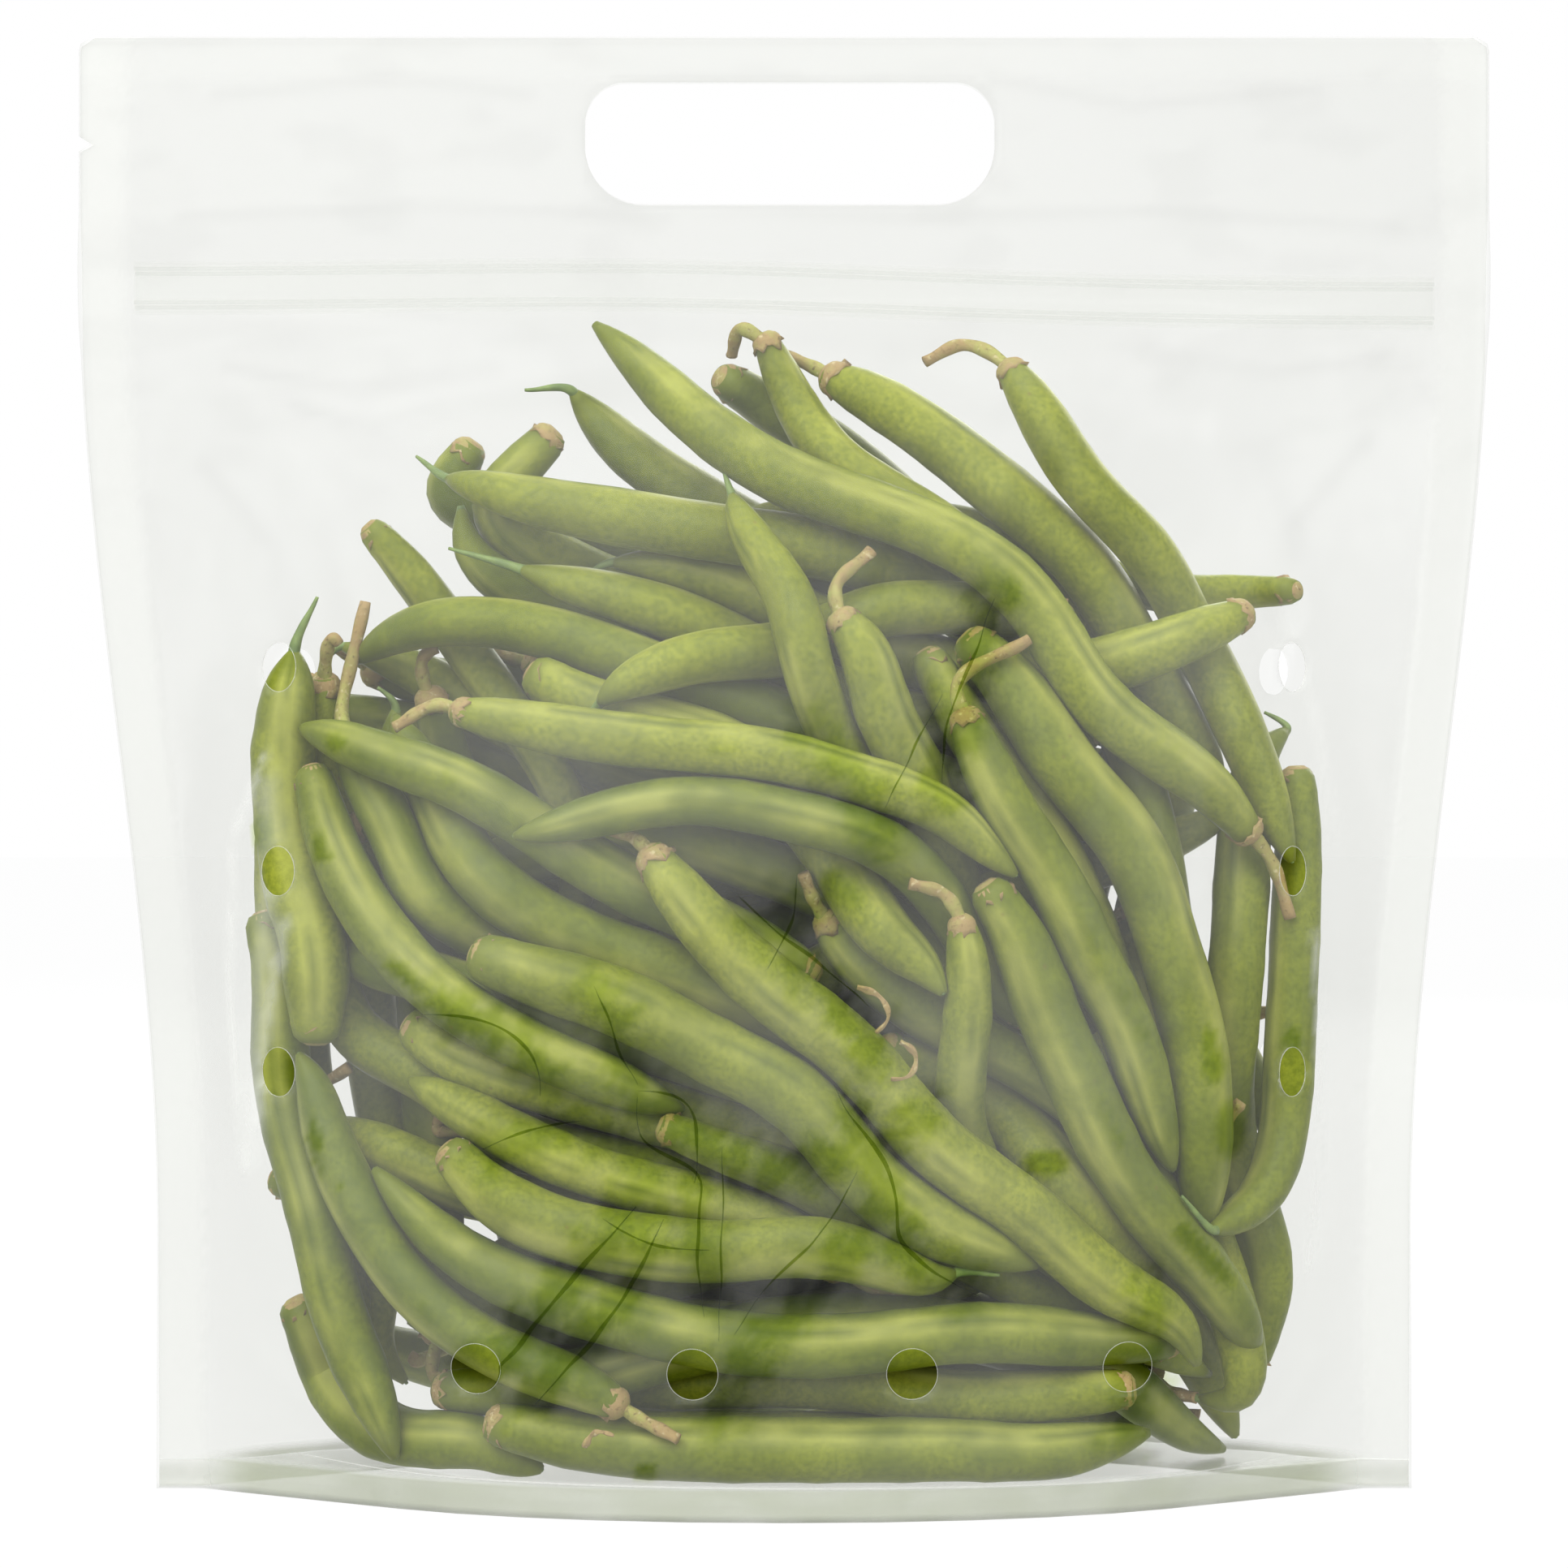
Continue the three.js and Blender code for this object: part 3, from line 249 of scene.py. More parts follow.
def skin_material():
    """Bean skin: satin yellow-green with a fine mottle, a darker suture and a few brown specks."""
    n = material_nodes("bean_skin")
    place = n.add("TexCoord").outputs["Object"]
    marks = n.add("Attribute", attribute_name="marks")
    channels = n.add("SeparateColor", {"Color": marks.outputs["Color"]})
    inside, hue, suture = channels.outputs[0], channels.outputs[1], channels.outputs[2]
    patches = n.noise(place, 90, 4)
    mottle = n.noise(place, 900, 3, 0.7)
    green = n.mix(n.ramp(patches, 0.35, 0.68), rgb("596708"), rgb("8a941e"))
    green = n.mix(n.ramp(hue, 0, 1), n.mix(0.5, green, rgb("606e12")), n.mix(0.4, green, rgb("a8ad38")))
    green = n.mix(n.ramp(mottle, 0.3, 0.75, 0, 0.55), green, rgb("4c5c0a"))
    pale = n.math("MULTIPLY", marks.outputs["Alpha"], n.ramp(n.noise(place, 70, 2), 0.3, 0.7, 0.1, 0.6))
    green = n.mix(pale, green, rgb("bcbf5e"))
    broken = n.ramp(n.noise(place, 55, 2), 0.38, 0.62, 0.05, 0.62)
    green = n.mix(n.math("MULTIPLY", suture, broken), green, rgb("435408"))
    green = n.mix(n.ramp(inside, 0.0, 0.9, 0.65, 0), green, rgb("6d7721"))
    specks = n.add("TexVoronoi", {"Vector": place, "Scale": 210, "Randomness": 1.0})
    speck = n.ramp(specks.outputs["Distance"], 0.1, 0.035)
    rare = n.ramp(n.noise(place, 160, 1), 0.56, 0.64)
    green = n.mix(n.math("MULTIPLY", n.math("MULTIPLY", speck, rare), 0.5), green, rgb("7c6a33"))
    fine = n.bump(n.noise(place, 1100, 2), 0.3, 0.0002)
    shader = n.add(
        "BsdfPrincipled",
        {
            "Base Color": green,
            "Roughness": n.ramp(patches, 0.3, 0.7, 0.36, 0.5),
            "Normal": fine,
            "IOR": 1.4,
            "Specular IOR Level": 0.24,
        },
    )
    return n.finish(shader)


def stalk_material():
    """Stalk and calyx: pale green at the pod, dried to tan at the torn end."""
    n = material_nodes("bean_stalk")
    place = n.add("TexCoord").outputs["Object"]
    marks = n.add("Attribute", attribute_name="marks")
    dry = n.add("SeparateColor", {"Color": marks.outputs["Color"]}).outputs[0]
    streaks = n.noise(place, 1300, 4)
    dry = n.math("ADD", dry, n.ramp(n.noise(place, 500, 3), 0.3, 0.7, -0.25, 0.3), clamp=True)
    tone = n.mix(dry, rgb("a5aa52"), rgb("a38a58"))
    tone = n.mix(n.ramp(streaks, 0.54, 0.74, 0, 0.7), tone, rgb("5e4520"))
    tone = n.mix(n.ramp(n.noise(place, 900, 2), 0.6, 0.75, 0, 0.7), tone, rgb("d0c294"))
    shader = n.add(
        "BsdfPrincipled",
        {"Base Color": tone, "Roughness": 0.75, "Normal": n.bump(streaks, 0.5, 0.0003)},
    )
    return n.finish(shader)


def film_material(name):
    """Clear film with a milky haze: attributes give its strength and its tone."""
    n = material_nodes(name)
    haze = n.add("Attribute", attribute_name="haze").outputs["Fac"]
    clear = n.add("BsdfTransparent", {"Color": n.add("Attribute", attribute_name="clear").outputs["Color"]})
    milky = n.add("BsdfDiffuse", {"Color": n.add("Attribute", attribute_name="tone").outputs["Color"]})
    veiled = n.add("MixShader", {0: haze, 1: clear.outputs[0], 2: milky.outputs[0]})
    mirror = n.add("BsdfGlossy", {"Color": (1, 1, 1, 1), "Roughness": GLOSS["roughness"]})
    facing = n.add("LayerWeight", {"Blend": 0.5}).outputs["Facing"]
    edge_on = n.math("MULTIPLY", n.math("POWER", facing, 4.0), GLOSS["edge_on"])
    share = n.math("ADD", edge_on, GLOSS["straight"])
    return n.finish(n.add("MixShader", {0: share, 1: veiled.outputs[0], 2: mirror.outputs[0]}))


def inner_face_material():
    """The film's inner face, plainly clear: its outer face carries the haze and the gloss of both."""
    n = material_nodes("pouch_film_inside")
    clear = n.add("Attribute", attribute_name="clear").outputs["Color"]
    return n.finish(n.add("BsdfTransparent", {"Color": clear}))


# Chains of sections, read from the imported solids


def mesh_graph(node):
    """The distinct points of a CAD node's mesh and each one's neighbours."""
    keys = {}
    index = [keys.setdefault(tuple(round(c * 1e5) for c in v.co), len(keys)) for v in node.data.vertices]
    points = np.array(list(keys), float) / 1e5
    neighbours = [set() for _ in points]
    for edge in node.data.edges:
        a, b = (index[i] for i in edge.vertices)
        if a != b:
            neighbours[a].add(b)
            neighbours[b].add(a)
    return points, neighbours


def layers_from(pole, neighbours):
    """Points by their distance from the pole in edges: rings, if it is the end of a tube. Else None."""
    seen = {pole}
    layers = [[pole]]
    while True:
        ring = sorted({b for a in layers[-1] for b in neighbours[a]} - seen)
        if not ring:
            return layers
        if len(layers) > 1 and len(ring) not in (1, len(layers[1])):
            return None
        seen.update(ring)
        layers.append(ring)


def sections_of(name):
    """Centres and radii of a chain's sections, end to end."""
    points, neighbours = mesh_graph(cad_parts[name])
    for pole in range(len(points)):
        layers = layers_from(pole, neighbours)
        if layers and len(layers[-1]) == 1 and len(layers) > 4:
            break
    else:
        raise ValueError(name + " is not a plain tube")
    centres = np.array([points[ring].mean(0) for ring in layers])
    radii = np.array([np.linalg.norm(points[ring] - c, axis=1).mean() for ring, c in zip(layers, centres)])
    return centres, radii


def pods_of(name):
    """Each bean of a node as its stalk, pod and beak points, from the stalk's end to the beak's."""
    centres, radii = sections_of(name)
    thick = radii > POD_FROM
    starts = [i for i in range(1, len(radii)) if thick[i] and not thick[i - 1]]
    beans = []
    for start in starts:
        end = start
        while thick[end + 1]:
            end += 1
        before = start - 1
        while before > 0 and not thick[before - 1]:
            before -= 1
        after = end + 1
        while after < len(radii) - 1 and not thick[after + 1]:
            after += 1
        pod, radius = centres[start : end + 1], radii[start : end + 1].max() / POD_WIDEST
        stalk, beak = centres[before:start], centres[end + 1 : after + 1]
        if radii[start] < radii[end]:
            pod, stalk, beak = pod[::-1], beak[::-1], stalk[::-1]
        beans.append({"pod": pod, "radius": radius, "stalk": stalk, "beak": beak})
    return beans


# Tubes


def spline(points, count):
    """A natural cubic spline through the points, sampled evenly along its chords."""
    points = np.asarray(points, float)
    steps = np.maximum(np.linalg.norm(np.diff(points, axis=0), axis=1), 1e-6)
    at = np.concatenate([[0], np.cumsum(steps)])
    n = len(points)
    if n < 3:
        share = np.linspace(0, 1, count)[:, None]
        return points[0] + (points[-1] - points[0]) * share
    system = np.zeros((n, n))
    right = np.zeros((n, 3))
    system[0, 0] = system[-1, -1] = 1
    for i in range(1, n - 1):
        before, after = steps[i - 1], steps[i]
        system[i, i - 1 : i + 2] = before, 2 * (before + after), after
        right[i] = 6 * ((points[i + 1] - points[i]) / after - (points[i] - points[i - 1]) / before)
    bends = np.linalg.solve(system, right)
    wanted = np.linspace(0, at[-1], count)
    i = np.clip(np.searchsorted(at, wanted, "right") - 1, 0, n - 2)
    h = steps[i][:, None]
    a = ((at[i + 1] - wanted) / steps[i])[:, None]
    b = 1 - a
    curve = a * points[i] + b * points[i + 1]
    return curve + ((a**3 - a) * bends[i] + (b**3 - b) * bends[i + 1]) * h**2 / 6


def tube(path, radius_at, sides, roll):
    """Closed tube round a path. radius_at(shares, angles) gives a radius for every ring and side."""
    path = np.asarray(path)
    along = np.gradient(path, axis=0)
    along /= np.linalg.norm(along, axis=1)[:, None]
    side = np.cross(along[0], (0, 0, 1) if abs(along[0][2]) < 0.8 else (1, 0, 0))
    frames = []
    for direction in along:
        side = side - direction * np.dot(side, direction)
        side /= np.linalg.norm(side)
        frames.append((side, np.cross(direction, side)))
    sideways, upwards = (np.array(f) for f in zip(*frames))
    angles = np.arange(sides) * 2 * math.pi / sides
    shares = np.linspace(0, 1, len(path))
    radii = radius_at(shares[:, None], angles[None, :])
    turned = angles + roll
    rings = (
        path[:, None]
        + sideways[:, None] * (radii * np.cos(turned))[..., None]
        + upwards[:, None] * (radii * np.sin(turned))[..., None]
    )
    vertices = np.concatenate([rings.reshape(-1, 3), [path[0], path[-1]]])
    faces = []
    for r in range(len(path) - 1):
        for s in range(sides):
            t = (s + 1) % sides
            faces.append((r * sides + s, r * sides + t, (r + 1) * sides + t, (r + 1) * sides + s))
    first, last = len(vertices) - 2, len(vertices) - 1
    for s in range(sides):
        t = (s + 1) % sides
        faces.append((first, t, s))
        faces.append((last, (len(path) - 1) * sides + s, (len(path) - 1) * sides + t))
    ring_share = np.concatenate([np.repeat(shares, sides), [0, 1]])
    ring_angle = np.concatenate([np.tile(angles, len(path)), [0, 0]])
    return vertices, faces, ring_share, ring_angle


class Build:
    """Closed shells gathered into one mesh, with a colour mark on each point and a material on each face."""

    def __init__(self):
        self.vertices, self.faces, self.marks, self.materials = [], [], [], []

    def add(self, vertices, faces, marks, material):
        start = len(self.vertices)
        self.vertices.extend(vertices)
        self.faces.extend(tuple(i + start for i in f) for f in faces)
        self.marks.extend(marks)
        self.materials.extend([material] * len(faces))

    def add_plain(self, vertices, faces, material=0):
        """A shell whose material reads no marks."""
        self.add(vertices, faces, [(1, 1, 1, 1)] * len(vertices), material)

    def make(self, name, materials):
        made = make_object(name, self.vertices, self.faces, materials)
        made.data.polygons.foreach_set("material_index", self.materials)
        layer = made.data.attributes.new("marks", "FLOAT_COLOR", "POINT")
        layer.data.foreach_set("color", np.array(self.marks, np.float32).ravel())
        return made


def pod_shape(radius, length, snapped):
    """Radius of a pod by its share and angle: tapered ends, two sutures and the swell of its seeds."""
    shares, sizes = (np.array(column, float) for column in zip(*POD_PROFILE))
    phase = draw.uniform(0, 2 * math.pi, 3)
    flat = draw.uniform(*FLATNESS)
    count = max(4, round(length / SEED_PITCH))
    swell = draw.uniform(*SEED_SWELL)

    def radius_at(share, angle):
        body = np.interp(share, shares, sizes)
        if snapped:
            body = np.maximum(body, np.interp(share, (0, 0.006, 0.05), (0.5, 0.66, 0.8)) * (share < 0.05))
        body = body * (1 + 0.02 * np.sin(9 * share + phase[0]) + 0.014 * np.sin(23 * share + phase[1]))
        seeds = np.maximum(0, np.cos(2 * math.pi * count * share + phase[2])) ** 2
        inner = smoothstep(0.06, 0.18, share) * smoothstep(0.97, 0.85, share)
        across = np.abs(np.sin(angle))
        ridge = SUTURE_RIDGE * np.exp(-((np.cos(angle) - 1) / 0.02) ** 2)
        return radius * (body * (1 - flat * np.cos(2 * angle)) + inner * (swell * seeds * across + ridge))

    return radius_at


def add_pod(build, bean, hue):
    path = spline(bean["pod_path"], POD_RINGS)
    length = np.linalg.norm(np.diff(path, axis=0), axis=1).sum()
    shape = pod_shape(bean["radius"], length, bean["snapped"])
    vertices, faces, share, angle = tube(path, shape, POD_SIDES, draw.uniform(0, 2 * math.pi))
    ends = smoothstep(0, 0.05, share) * smoothstep(1.0, 0.9, share)
    suture = np.exp(-(((np.abs(np.cos(angle)) - 1) / 0.012) ** 2)) * smoothstep(0.02, 0.1, share)
    band = np.exp(-(((np.abs(np.cos(angle)) - 1) / 0.14) ** 2)) * ends
    marks = np.stack([ends, np.full_like(share, hue), suture, band], 1)
    build.add(vertices, faces, marks, 0)
    return path


def add_stem(build, path, ends, dryness, rough=0.1, material=1):
    """A thin tube such as a stalk or a beak. Its radius and dryness run from one end to the other."""
    wobble = draw.uniform(0, 2 * math.pi, 2)

    def radius_at(share, angle):
        base = ends[0] + (ends[1] - ends[0]) * share
        around = np.sin(3 * angle + wobble[0] + 5 * share)
        return base * (1 + rough * around + rough * np.sin(17 * share + wobble[1]))

    vertices, faces, share, _ = tube(path, radius_at, STALK_SIDES, 0)
    dry = dryness[0] + (dryness[1] - dryness[0]) * share
    build.add(vertices, faces, np.stack([dry, dry * 0, dry * 0, dry * 0 + 1], 1), material)


def add_calyx(build, neck, towards, radius):
    """A ragged dry cup round the neck of a pod."""
    sides, rings = CALYX["sides"], len(CALYX_FLARE)
    steps = np.linspace(-CALYX["under"], draw.uniform(*CALYX["reach"]), rings)
    path = [neck + towards * step for step in steps]

    def radius_at(share, angle):
        return radius * np.interp(share, np.linspace(0, 1, rings), CALYX_FLARE) + 0 * angle

    vertices, faces, share, _ = tube(path, radius_at, sides, 0)
    vertices = np.array(vertices)
    for s in range(sides):
        rag = draw.uniform(*CALYX["rag"])
        last, before = (rings - 1) * sides + s, (rings - 2) * sides + s
        vertices[last] += towards * rag + (vertices[last] - path[-1]) * draw.uniform(-0.02, 0.35)
        vertices[before] += towards * rag * 0.4
    dry = 0.75 + 0.25 * share
    build.add(vertices, faces, np.stack([dry, dry * 0, dry * 0, dry * 0 + 1], 1), 1)


def near_part(points, origin, most):
    """Points of a stretch, counted from origin, no further than a given length away."""
    kept, length, last = [], 0, origin
    for point in points:
        step = np.linalg.norm(point - last)
        if length + step > most:
            kept.append(last + (point - last) * (most - length) / step)
            break
        kept.append(point)
        length, last = length + step, point
    return kept


def add_bean(build, bean, shared):
    """One bean: pod, calyx with its stalk or a snapped end, and the beak at its tip."""
    pod, stalk, beak = bean["pod"], list(bean["stalk"]), list(bean["beak"])
    bean["snapped"] = len(stalk) < 2
    hue = draw.uniform(0, 1)
    tip = beak[0] if beak else pod[-1]
    base = [stalk[0]] if bean["snapped"] and stalk else []
    bean["pod_path"] = np.array(base + list(pod) + [tip])
    path = add_pod(build, bean, hue)
    towards = (path[3] - path[0]) / np.linalg.norm(path[3] - path[0])
    neck = bean["radius"] * NECK
    if bean["snapped"]:
        add_calyx(build, path[0] + towards * 0.3 * MM, towards, neck * 1.05)
    else:
        add_calyx(build, path[0], towards, neck)
        out = near_part(stalk[::-1], pod[0], STALK["shown"] if shared else 1)
        add_stem(build, spline([path[1], *out], 22), (STALK["at_pod"], STALK["at_end"]), (0.1, 1.1))
    forward = (path[-1] - path[-4]) / np.linalg.norm(path[-1] - path[-4])
    reach = near_part(beak[1:], tip, BEAK["shown"] if shared else 1) or [tip + forward * BEAK["least"]]
    ends = bean["radius"] * BEAK["at_pod"], BEAK["at_end"]
    add_stem(build, spline([path[-2], path[-1], *reach], 16), ends, (0.0, 0.1), 0.04, 2)


def beak_material():
    """The beak at a pod's tip: dark grey-green."""
    n = material_nodes("bean_beak")
    place = n.add("TexCoord").outputs["Object"]
    tone = n.mix(n.ramp(n.noise(place, 400, 3), 0.3, 0.7), rgb("5d7436"), rgb("7d9347"))
    return n.finish(n.add("BsdfPrincipled", {"Base Color": tone, "Roughness": 0.55}))


def dress_beans():
    materials = [skin_material(), stalk_material(), beak_material()]
    made = []
    for name in sorted(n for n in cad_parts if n.startswith("bean")):
        beans = pods_of(name)
        build = Build()
        for bean in beans:
            add_bean(build, bean, len(beans) > 1)
        piece = build.make("green_" + name, materials)
        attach(piece, "root")
        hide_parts(name)
        made.append(piece)
    return made


# Film


def half_width(z):
    """Half the flat width of the pouch at a height, with its small round corners at the top."""
    width = FOOT_HALF_WIDTH + (TOP_HALF_WIDTH - FOOT_HALF_WIDTH) * smoothstep(TAPER_FROM, TAPER_TO, z)
    into = np.clip(z - (POUCH_HEIGHT - TOP_CORNER), 0, TOP_CORNER)
    return width - (TOP_CORNER - np.sqrt(TOP_CORNER**2 - into**2))


def handle_distance(x, z):
    """Signed distance to the handle slot's outline, negative inside."""
    dx, dz = np.abs(x - HANDLE["x"]), z - HANDLE["z"]
    corner = np.where(dz > 0, HANDLE_CORNERS["top"], HANDLE_CORNERS["bottom"])
    qx, qz = dx - (HANDLE["width"] / 2 - corner), np.abs(dz) - (HANDLE["height"] / 2 - corner)
    outside = np.hypot(np.maximum(qx, 0), np.maximum(qz, 0))
    return outside + np.minimum(np.maximum(qx, qz), 0) - corner


def nearest_cut(x, z):
    """Signed distance to the nearest cut-out of the film."""
    nearest = handle_distance(x, z)
    for vx, vz, share in VENTS:
        nearest = np.minimum(nearest, np.hypot((x - vx) / share, z - vz) - VENT_RADIUS)
    return nearest


def tree_of(mesh):
    """A tree of the mesh's faces, to feel for with rays."""
    return BVHTree.FromPolygons([v.co for v in mesh.vertices], [p.vertices[:] for p in mesh.polygons])


def cad_depth(name, xs, zs, side):
    """Depth of a CAD film's outer face over a grid. Cut-outs are filled in from round them."""
    tree = tree_of(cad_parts[name].data)
    inside = 0.02 * MM
    depth = np.full(xs.shape, np.nan)
    for index in np.ndindex(xs.shape):
        x, z = xs[index] * 0.9995, min(max(zs[index], inside), POUCH_HEIGHT - inside)
        hit = tree.ray_cast(Vector((x, side * LOOK_FROM, z)), Vector((0, -side, 0)))[0]
        if hit is not None:
            depth[index] = hit.y
    missing = np.isnan(depth)
    depth[missing] = side * 0.5 * MM
    for _ in range(120):
        around = neighbour_mean(depth)
        depth[missing] = around[missing]
    return depth


def neighbour_mean(grid):
    padded = np.pad(grid, 1, mode="edge")
    return (padded[:-2, 1:-1] + padded[2:, 1:-1] + padded[1:-1, :-2] + padded[1:-1, 2:]) / 4


def contents_depth(tree, xs, zs, side):
    """Depth of the outermost bean over the grid, or none where the view goes past them all."""
    depth = np.full(xs.shape, -side * 1.0)
    for index in np.ndindex(xs.shape):
        hit = tree.ray_cast(Vector((xs[index], side * LOOK_FROM, zs[index])), Vector((0, -side, 0)))[0]
        if hit is not None:
            depth[index] = hit.y
    return depth


def line_distance(xs, zs, line):
    """Distance of every grid point from a line of points given in mm."""
    nearest = np.full(xs.shape, 1.0)
    for (ax, az), (bx, bz) in zip(line, line[1:]):
        ax, az, bx, bz = ax * MM, az * MM, bx * MM, bz * MM
        share = ((xs - ax) * (bx - ax) + (zs - az) * (bz - az)) / ((bx - ax) ** 2 + (bz - az) ** 2)
        share = np.clip(share, 0, 1)
        nearest = np.minimum(nearest, np.hypot(xs - ax - share * (bx - ax), zs - az - share * (bz - az)))
    return nearest


def noise_grid(xs, zs, scale, seed):
    """Smooth noise from about -1 to 1 over the grid."""
    places = zip(xs.ravel() * scale, zs.ravel() * scale)
    return np.array([noise.fractal(Vector((x, z, seed)), 1.0, 2.0, 3) for x, z in places]).reshape(xs.shape)


def film_haze(xs, zs, to_edge, touch, side):
    """How milky the film is: cloudy over its face, denser at seals and skirt, clear where it is wet, and
    thinner higher up as painted shade.
    """
    haze = HAZE["film"] + HAZE["cloud"] * np.clip(0.5 + noise_grid(xs, zs, 22, side * 3.0), 0, 1.6)
    ragged = noise_grid(xs, zs, 300, side * 9.0) * 1.2 * MM
    wet = 0.85 * touch * smoothstep(0.14, 0.24, noise_grid(xs, zs, 62, side * 5.0))
    if side < 0:
        for line in WET_STREAKS:
            wet = np.maximum(wet, np.exp(-(((line_distance(xs, zs, line) + 3 * ragged) / WET_REACH) ** 2)))
        for x, z, across, up in WET_DROPS:
            reach = np.hypot((xs - x * MM) / (across * MM), (zs - z * MM) / (up * MM))
            wet = np.maximum(wet, smoothstep(1.4, 0.8, reach))
    wet *= smoothstep(FOOT_SKIRT, FOOT_SKIRT + 3 * MM, zs)
    haze *= 1 - WET_LOSS * wet
    # painted shade: less haze higher up keeps the film that slopes towards the overhead light from looking
    # bright
    haze *= 1 - UPPER_HAZE_SHADE * smoothstep(120 * MM, 185 * MM, zs)
    for line, width, more in EDGE_STREAKS if side < 0 else []:
        haze += more * np.exp(-((line_distance(xs, zs, line) + ragged * 0.5) / (width * MM)) ** 2)
    haze += HAZE["seal"] * smoothstep(SIDE_SEAL + 0.7 * MM, SIDE_SEAL - 0.7 * MM, to_edge + ragged)
    haze += HAZE["seal"] * 0.4 * smoothstep(POUCH_HEIGHT - TOP_SEAL - 1 * MM, POUCH_HEIGHT - TOP_SEAL, zs)
    streaks = 1 + 0.4 * noise_grid(xs * 0.5, zs, 150, side * 7.0)
    haze += HAZE["skirt"] * streaks * skirt_share(xs, zs)
    return 1 - (1 - np.clip(haze, 0, 1)) ** 2, wet


def skirt_share(xs, zs):
    """1 on the front of the foot's sealed skirt, fading out towards the side seals."""
    inward = smoothstep(104 * MM, 90 * MM, np.abs(xs))
    return smoothstep(FOOT_SKIRT + 0.7 * MM, FOOT_SKIRT - 0.6 * MM, zs) * inward


def drape(start, contents, side, held):
    """The film drawn taut over its contents: it settles between its held edges, but not into a bean."""
    clear = contents + side * BEAN_GAP
    depth = start.copy()
    for _ in range(DRAPE_ROUNDS):
        depth = neighbour_mean(depth)
        depth = np.maximum(depth, clear) if side > 0 else np.minimum(depth, clear)
        limit = np.abs(start)
        depth = np.clip(depth, -limit, limit)
        depth = np.where(held > 0, start * held + depth * (1 - held), depth)
    return depth


def held_share(to_edge, zs):
    """1 where a seal, the zip or the skirt holds the film, 0 where it hangs free."""
    side = smoothstep(SIDE_SEAL * 1.6, SIDE_SEAL, to_edge)
    top = smoothstep(ZIP_FOOT - 6 * MM, ZIP_FOOT, zs)
    foot = smoothstep(FOOT_SKIRT * 1.6, FOOT_SKIRT, zs)
    return np.maximum(np.maximum(side, top), foot)


def film_piece(name, node, side, grid, beans, materials):
    """One sheet of the pouch: a grid draped over the beans, with its notch, slot and vents cut out."""
    columns = grid["columns"]
    at_notch = NOTCH["z"] + np.array((-0.5, 0, 0.5)) * NOTCH["height"]
    heights = np.append(np.linspace(0, POUCH_HEIGHT, grid["rows"]), at_notch)
    zs = np.repeat(np.sort(heights)[:, None], columns, 1)
    xs = np.linspace(-1, 1, columns)[None, :] * half_width(zs)
    start = cad_depth(node, xs, zs, side)
    to_edge = half_width(zs) - np.abs(xs)
    held = held_share(to_edge, zs)
    contents = contents_depth(beans, xs, zs, side)
    depth = drape(start, contents, side, held)
    gap = np.abs(depth - contents)
    free = (1 - held) * smoothstep(0.3 * MM, 1.4 * MM, gap)
    depth = depth + side * wrinkles(xs, zs, side) * free
    haze, wet = film_haze(xs, zs, to_edge, smoothstep(0.8 * MM, 0.45 * MM, gap), side)
    notch = NOTCH["depth"] * np.clip(1 - 2 * np.abs(zs - NOTCH["z"]) / NOTCH["height"], 0, 1)
    xs = xs + notch * np.clip(1 - (xs + half_width(zs)) / SIDE_SEAL, 0, 1)
    faces, keep = [], nearest_cut(xs, zs)
    for r in range(len(heights) - 1):
        for c in range(columns - 1):
            if keep[r : r + 2, c : c + 2].mean() > 0:
                a, b = r * columns + c, (r + 1) * columns + c
                faces.append((a, a + 1, b + 1, b) if side < 0 else (a, b, b + 1, a + 1))
    piece = make_object(name, np.stack([xs, depth, zs], -1).reshape(-1, 3), faces, materials)
    looks = (haze, wet**1.5, skirt_share(xs, zs), header_shade(xs, zs))
    paint_film(piece, *(values.ravel() for values in looks))
    trim_to_cuts(piece)
    thicken(piece)
    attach(piece, "root")
    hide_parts(node)
    return piece


def thicken(piece):
    """Gives a film its thickness. So clear a film casts no shadow, which keeps the render short."""
    piece.visible_shadow = False
    piece.visible_diffuse = False
    piece.visible_glossy = False
    shell = piece.modifiers.new("thickness", "SOLIDIFY")
    shell.thickness = FILM
    shell.offset = -1
    shell.material_offset = 1


def wrinkles(xs, zs, side):
    """Outward heights of the film's soft folds and of its fine, mostly upright, wrinkles."""
    height = 0.28 * MM * noise_grid(xs * 1.6, zs * 0.6, 60, side * 2.0)
    height += 0.12 * MM * noise_grid(xs * 1.3, zs * 0.9, 190, side * 4.0)
    for line, rise, width in FOLDS:
        height += rise * MM * np.exp(-((line_distance(xs, zs, line) / (width * MM)) ** 2))
    return height


def header_shade(xs, zs):
    """Painted shade of the faint creases and the header's crumples: the share by which they darken the film
    at every point.
    """
    shade = np.zeros(xs.shape)
    for line, width in HEADER_CREASES:
        away = line_distance(xs, zs, line) / (width * MM)
        shade = np.maximum(shade, CREASE_SHADE * np.exp(-(away**2)))
    crumples = smoothstep(0, 0.6, noise_grid(xs, zs * 2.2, 50, 6.0))
    return shade + CRUMPLE_SHADE * crumples * smoothstep(150 * MM, 185 * MM, zs)


